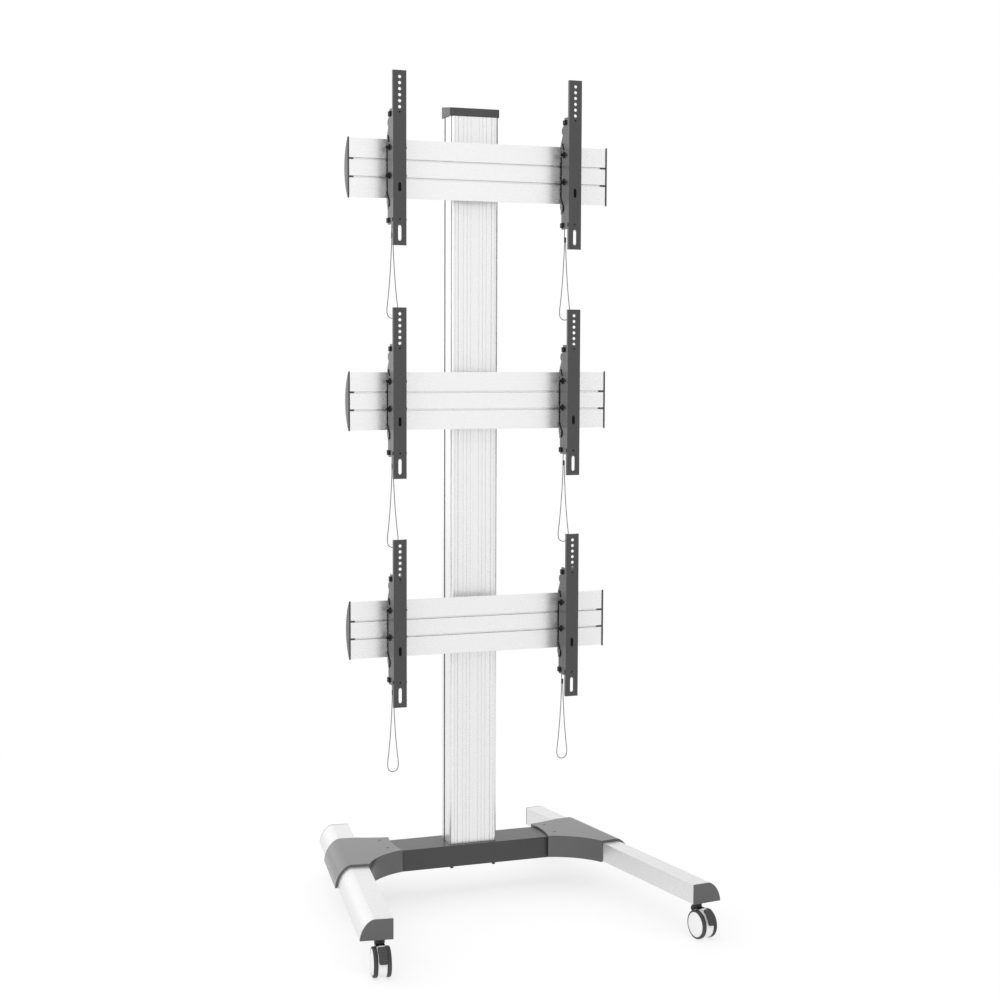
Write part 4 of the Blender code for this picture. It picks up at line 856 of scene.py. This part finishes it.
def about(origin, axis, ahead):
    """Turns (across, u, v) into a world point: along the axle, ahead and up from an origin."""
    return lambda across, u, v: origin + axis * across + ahead * u + Vector((0, 0, v))


def lathe(name, centre, axis, profile, steps=56, smooth=35):
    """Turns a closed (radius, along) profile about an axis."""
    across = axis.orthogonal().normalized()
    up = axis.cross(across).normalized()
    shape = bmesh.new()
    rings = []
    for radius, along in profile:
        rings.append(ring_of(shape, centre + axis * along, across, up, radius, radius, steps))
    for low, high in zip(rings, rings[1:] + rings[:1]):
        bridge(shape, low, high)
    return mesh_piece(name, shape, smooth)


def make_castor(place, side, looks):
    """One castor: wheels, hood, pedal, neck and saddle."""
    centre, axis, stem, ahead = castor_axes(place, side)
    tag = f"{place}_{side}"
    make_wheels(tag, centre, axis, looks)
    make_fork(tag, centre, axis, ahead, looks)
    make_pedal(tag, about(centre, axis, ahead), looks)
    make_neck(tag, stem, looks)
    make_shade_saddle(tag, about(Vector((centre.x, centre.y, 0)), axis, ahead), looks)


def make_wheels(tag, centre, axis, looks):
    """Twin wheels, each a rubber tread round a domed disc, and their axle."""
    inner, outer = CASTOR_WIDTH / 2 - WHEEL_WIDTH, CASTOR_WIDTH / 2
    first = None
    # Profiles as (millimetres in from the rim, metres along the axle)
    tread = (
        (5.9, inner + 0.6 * MM), (1.5, inner), (0.3, inner + 1.0 * MM), (0, inner + 2.6 * MM),
        (0, outer - 4.2 * MM), (0.3, outer - 2.4 * MM), (1.3, outer - 1.0 * MM), (2.9, outer - 0.5 * MM),
        (4.7, outer - 0.7 * MM), (5.9, outer - 1.6 * MM),
    )
    disc = (
        (6.0, inner), (5.1, outer - 1.5 * MM), (5.7, outer - 0.5 * MM), (7.7, outer - 0.1 * MM),
        (8.7, outer + 0.1 * MM), (9.3, outer - 0.4 * MM), (10.1, outer + 0.3 * MM), (14.3, outer + 0.8 * MM),
        (18.3, outer + 1.1 * MM), (28.9, outer + 1.6 * MM), (29.5, outer + 0.9 * MM),
        (30.1, outer + 1.6 * MM), (33.7, outer + 1.7 * MM), (37.4, outer + 1.7 * MM), (37.4, inner),
    )
    for word, way in (("a", 1), ("b", -1)):
        for kind, profile, surface in (("tread", tread, "tread"), ("disc", disc, "white")):
            profile = [(WHEEL_RADIUS - down * MM, along) for down, along in profile]
            piece = lathe(f"{kind}_{word}_{tag}", centre, axis * way, profile)
            dress(piece, looks[surface], f"wheels_{tag}")
            first = first or piece
    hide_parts(f"castor_wheels_{tag}")
    bar = [(0.3 * MM, -inner), (4 * MM, -inner), (4 * MM, inner), (0.3 * MM, inner)]
    dress(lathe(f"axle_{tag}", centre, axis, bar, 24), looks["zinc"], f"wheels_{tag}")


def make_fork(tag, centre, axis, ahead, looks):
    """The white hood, a little wider than in the CAD and without its pin's lug, and its dark neck."""
    fork = refined(f"castor_fork_{tag}", f"castor_{tag}", looks["white"], 0.8 * MM, 3)
    for vertex in fork.data.vertices:
        out = vertex.co - centre
        out -= axis * out.dot(axis)
        if abs(out.length - HOOD_RADIUS) < HOOD_TOLERANCE:
            vertex.co += out.normalized() * (HOOD_LOOK_RADIUS - HOOD_RADIUS)
    shape = bmesh.new()
    prism_into(shape, LUG_ROOM, -LUG_ROOM_HALF, LUG_ROOM_HALF, about(centre, axis, ahead))
    pierce(fork, mesh_piece("lug_room", shape), 32, fresh=False)
    fork.data.materials.append(looks["neck"])
    for face in fork.data.polygons:
        if face.center.z > NECK_FOOT + 0.3 * MM:
            face.material_index = 1


def make_pedal(tag, place, looks):
    """The brake pedal: a curved plate with round corners, ribs across it and a white link over the hood."""
    def on_arc(across, radius, turn):
        turn = math.radians(turn)
        return place(across, radius * math.cos(turn), radius * math.sin(turn))

    body = f"pedal_{tag}"
    shape = bmesh.new()
    rings = []
    edge = PEDAL_EDGE
    for turn, share in PEDAL_SWEEP:
        wider = PEDAL_WIDER * max(0, turn - PEDAL_WIDER_FROM) / PEDAL_WIDER_OVER
        half = share * (PEDAL_HALF + wider) * MM
        section = (
            (-half, PEDAL_INNER + edge), (-half, PEDAL_OUTER - edge), (edge - half, PEDAL_OUTER),
            (half - edge, PEDAL_OUTER), (half, PEDAL_OUTER - edge), (half, PEDAL_INNER + edge),
            (half - edge, PEDAL_INNER), (edge - half, PEDAL_INNER),
        )
        rings.append([shape.verts.new(on_arc(across, radius, turn)) for across, radius in section])
    loft(shape, rings)
    plate = dress(mesh_piece(f"pedal_plate_{tag}", shape, 30), looks["neck"], body)
    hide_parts(f"castor_pedal_{tag}")
    shape = bmesh.new()
    link = []
    for radius, turn in PEDAL_LINK:
        turn = math.radians(turn)
        link.append((radius * MM * math.cos(turn), radius * MM * math.sin(turn)))
    prism_into(shape, link, -PEDAL_LINK_HALF, PEDAL_LINK_HALF, place)
    dress(mesh_piece(f"pedal_link_{tag}", shape, 30), looks["white"], body)
    shape = bmesh.new()
    for i in range(RIB_COUNT):
        turn = RIB_FIRST + RIB_PITCH * i
        half = (RIB_HALF + RIB_WIDER * (turn - RIB_FIRST) / RIB_WIDER_OVER) * MM
        rib = []
        for lean, radius, share in RIB_SECTION:
            reach = share * half
            rib.append([shape.verts.new(on_arc(side * reach, radius, turn + lean)) for side in (-1, 1)])
        for a, b in zip(rib, rib[1:] + rib[:1]):
            shape.faces.new((a[0], a[1], b[1], b[0]))
        shape.faces.new([pair[0] for pair in rib])
        shape.faces.new([pair[1] for pair in rib])
    ribs = mesh_piece(f"pedal_ribs_{tag}", shape, 30)
    round_edges(ribs, 0.25 * MM, 2)
    dress(ribs, looks["pedal"], body)


def make_neck(tag, stem, looks):
    """The dark swivel collar round the neck, with a ring of upright notches."""
    shape = bmesh.new()
    reach = NECK_RADIUS + COLLAR_PROUD
    levels = (
        (NECK_FOOT, reach - 0.9 * MM), (NECK_FOOT + 0.7 * MM, reach), (NECK_TOP - 3.2 * MM, reach),
        (NECK_TOP - 2.6 * MM, reach - 0.5 * MM), (NECK_TOP - 2.2 * MM, reach - 0.1 * MM),
        (NECK_TOP - 0.4 * MM, reach - 0.1 * MM), (NECK_TOP, reach - 0.6 * MM),
    )
    rings = []
    for number, (height, radius) in enumerate(levels):
        ring = []
        for i in range(COLLAR_STEPS):
            notched = i % COLLAR_NOTCH_PITCH in (0, 1) and number in (1, 2)
            out = NECK_RADIUS + 0.02 * MM if notched else radius
            turn = 2 * math.pi * i / COLLAR_STEPS
            ring.append(shape.verts.new(stem + Vector((out * math.cos(turn), out * math.sin(turn), height))))
        rings.append(ring)
    inner = NECK_RADIUS - COLLAR_BORE
    for height in (NECK_TOP, NECK_FOOT):
        middle = stem + Vector((0, 0, height))
        rings.append(ring_of(shape, middle, Vector((1, 0, 0)), Vector((0, 1, 0)), inner, inner, COLLAR_STEPS))
    for a, b in zip(rings, rings[1:] + rings[:1]):
        bridge(shape, a, b)
    dress(mesh_piece(f"collar_{tag}", shape, 25), looks["neck"], f"castor_{tag}")


def make_shade_saddle(tag, place, looks):
    """Painted shade: a black wedge under the neck, curved to clear both wheels, where the gap between the
    wheels and the neck lies in shadow; its v starts at the floor.
    """
    radius = WHEEL_RADIUS + SADDLE_CLEARANCE
    first, last = SADDLE_TURNS
    under = []
    for i in range(SADDLE_STEPS + 1):
        turn = math.radians(first + (last - first) * i / SADDLE_STEPS)
        under.append((radius * math.cos(turn), WHEEL_RADIUS + radius * math.sin(turn)))
    crown = NECK_FOOT + 0.8 * MM
    outline = [(under[0][0], crown + 0.6 * MM), *under, (-CASTOR_TRAIL - 11.6 * MM, under[-1][1] + 3 * MM)]
    outline += [(-CASTOR_TRAIL - 11.8 * MM, crown - 1 * MM), (-CASTOR_TRAIL - 10.8 * MM, crown)]
    shape = bmesh.new()
    prism_into(shape, outline, -SADDLE_HALF, SADDLE_HALF, place)
    saddle = mesh_piece(f"saddle_{tag}", shape, 30)
    round_edges(saddle, 0.8 * MM, 3)
    dress(saddle, looks["black"], f"castor_{tag}")


def make_screws(looks):
    """Countersunk screws on the gussets, each with a round socket in its head."""
    beam_low, beam_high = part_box("cross_beam")
    across, along, up = Vector((1, 0, 0)), Vector((0, 1, 0)), Vector((0, 0, 1))
    places = (("front", beam_low.y + SCREW_FROM_FRONT), ("back", beam_high.y - SCREW_FROM_BACK))
    for side, sign in (("left", -1), ("right", 1)):
        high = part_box(f"corner_gusset_{side}")[1]
        for word, y in places:
            centre = Vector((sign * SCREW_ASIDE, y, high.z))
            shape = bmesh.new()
            rings = []
            for r, h in SCREW_PROFILE:
                rings.append(ring_of(shape, centre + up * h * MM, across, along, r * MM, r * MM, 30))
            loft(shape, rings)
            screw = mesh_piece(f"screw_{side}_{word}", shape, 30)
            dress(screw, looks["screw"], "stand_base")


def make_looks():
    """Every material, by the name that the pieces ask for."""
    return {
        "silver_x": anodised("anodised_along_x", "x", 0.82, 0.008, 0.12, 0.03),
        # The legs get a wider painted highlight along their edges
        "silver_y": anodised("anodised_along_y", "y", 0.74, 0.06, edge=1.1),
        "silver_z": anodised("anodised_along_z", "z", 0.81, 0.010, 0.14, 0.03),
        "powder": powder("powder_dark", 0.042, roughness=0.28),
        "beam": powder("powder_beam", 0.036, 1300, roughness=0.34),
        "casting": powder("powder_casting", 0.118, 1200, 0.20, 0.012, 0.20, 0.75),
        "moulding": moulded("moulding_grey", 0.092, 0.42, worn=0.15),
        "cap_dark": moulded("moulding_dark", 0.043, 0.34, worn=0.12),
        "white": moulded("moulding_white", 0.80, 0.32, 3000, 0.02),
        "pedal": moulded("moulding_pedal", 0.085, 0.50, 2200, 0.05, 0.14, 0.3),
        "neck": moulded("moulding_neck", 0.032, 0.48, 2200, 0.05, 0.06, 0.3),
        "black": moulded("moulding_black", 0.013, 0.5, 2200, 0.05, 0.025, 0.16),
        # Black felt, used only as painted shade
        "shade_felt": shade_felt("felt_black"),
        "tread": rubber("rubber_tread", 0.034),
        "zinc": zinc("zinc_bright"),
        "screw": powder("screw_black", 0.03, 2600, 0.1, 0.03, 0.35),
        "fibre": braid("cord_braid"),
        "crimp": zinc("crimp_metal", 0.05, 0.10),
    }


def make_floor():
    """A pale floor whose edge fades into the white of the studio, with a soft faint shadow."""
    shape = bmesh.new()
    bmesh.ops.create_circle(shape, cap_ends=True, segments=96, radius=FLOOR_RADIUS)
    floor = mesh_piece("floor", shape)
    surface = bpy.data.materials.new("floor_pale")
    surface.use_nodes = True
    nodes, links = surface.node_tree.nodes, surface.node_tree.links
    shader = nodes["Principled BSDF"]
    shader.inputs["Base Color"].default_value = (FLOOR_SHADE, FLOOR_SHADE, FLOOR_SHADE, 1)
    shader.inputs["Roughness"].default_value = 0.9
    shader.inputs["Specular IOR Level"].default_value = 0
    shader.inputs["Emission Color"].default_value = (1, 1, 1, 1)
    shader.inputs["Emission Strength"].default_value = FLOOR_GLOW
    glow = nodes.new("ShaderNodeEmission")
    place = nodes.new("ShaderNodeTexCoord").outputs["Object"]
    away = nodes.new("ShaderNodeVectorMath")
    away.operation = "LENGTH"
    fade = nodes.new("ShaderNodeMapRange")
    fade.interpolation_type = "SMOOTHSTEP"
    fade.inputs["From Min"].default_value = FLOOR_FADE[0]
    fade.inputs["From Max"].default_value = FLOOR_FADE[1]
    mixed = nodes.new("ShaderNodeMixShader")
    links.new(place, away.inputs[0])
    links.new(away.outputs["Value"], fade.inputs["Value"])
    links.new(fade.outputs["Result"], mixed.inputs["Fac"])
    links.new(shader.outputs["BSDF"], mixed.inputs[1])
    links.new(glow.outputs["Emission"], mixed.inputs[2])
    links.new(mixed.outputs["Shader"], nodes["Material Output"].inputs["Surface"])
    floor.data.materials.append(surface)
    floor.location.z = -FLOOR_SUNK


def world_dot(nodes, links, direction, vector):
    """The dot product of the view's direction and a fixed vector."""
    made = nodes.new("ShaderNodeVectorMath")
    made.operation = "DOT_PRODUCT"
    made.inputs[1].default_value = vector
    links.new(direction, made.inputs[0])
    return made.outputs["Value"]


def world_range(nodes, links, value, low, high, at_low, at_high):
    """A smooth step from at_low to at_high between two values."""
    made = nodes.new("ShaderNodeMapRange")
    made.interpolation_type = "SMOOTHSTEP"
    for name, number in (("From Min", low), ("From Max", high), ("To Min", at_low), ("To Max", at_high)):
        made.inputs[name].default_value = number
    links.new(value, made.inputs["Value"])
    return made.outputs["Result"]


def make_light():
    """A white studio: a sloping sky with dark flags and bright panels to mirror, and a soft key light."""
    world = bpy.data.worlds.new("studio")
    bpy.context.scene.world = world
    world.use_nodes = True
    nodes, links = world.node_tree.nodes, world.node_tree.links
    seen = nodes["Background"]
    seen.inputs["Color"].default_value = (1, 1, 1, 1)
    seen.inputs["Strength"].default_value = 1.0
    direction = nodes.new("ShaderNodeTexCoord").outputs["Generated"]
    sweep = nodes.new("ShaderNodeMath")
    sweep.operation = "ADD"
    links.new(world_dot(nodes, links, direction, SKY_SLOPE), sweep.inputs[0])
    sweep.inputs[1].default_value = SKY_LEVEL
    level = sweep.outputs["Value"]
    for towards, inner, outer, there in PANELS:
        share = world_range(
            nodes, links, world_dot(nodes, links, direction, towards), math.cos(math.radians(outer)),
            math.cos(math.radians(inner)), 1.0, there,
        )
        product = nodes.new("ShaderNodeMath")
        product.operation = "MULTIPLY"
        links.new(level, product.inputs[0])
        links.new(share, product.inputs[1])
        level = product.outputs["Value"]
    lit = nodes.new("ShaderNodeBackground")
    links.new(level, lit.inputs["Strength"])
    path = nodes.new("ShaderNodeLightPath")
    mixed = nodes.new("ShaderNodeMixShader")
    links.new(path.outputs["Is Camera Ray"], mixed.inputs["Fac"])
    links.new(lit.outputs["Background"], mixed.inputs[1])
    links.new(seen.outputs["Background"], mixed.inputs[2])
    links.new(mixed.outputs["Shader"], nodes["World Output"].inputs["Surface"])
    data = bpy.data.lights.new("key", "AREA")
    data.size = KEY_SIZE
    data.energy = KEY_POWER
    lamp = bpy.data.objects.new("key", data)
    lamp.location = KEY_PLACE
    lamp.rotation_euler = (Vector(KEY_AIM) - lamp.location).to_track_quat("-Z", "Y").to_euler()
    bpy.context.scene.collection.objects.link(lamp)


def make_scene():
    """The camera and the cords first, then the pieces, the floor and the light."""
    place_camera()
    looks = make_looks()
    make_cords(looks["fibre"], looks["crimp"])
    refine_frame(looks)
    for row in ROWS:
        for side in SIDES:
            refine_arm(row, side, looks)
    for place in PLACES:
        for side in SIDES:
            make_castor(place, side, looks)
    make_screws(looks)
    make_floor()
    make_light()
    bpy.context.scene.view_settings.view_transform = "Standard"


make_scene()
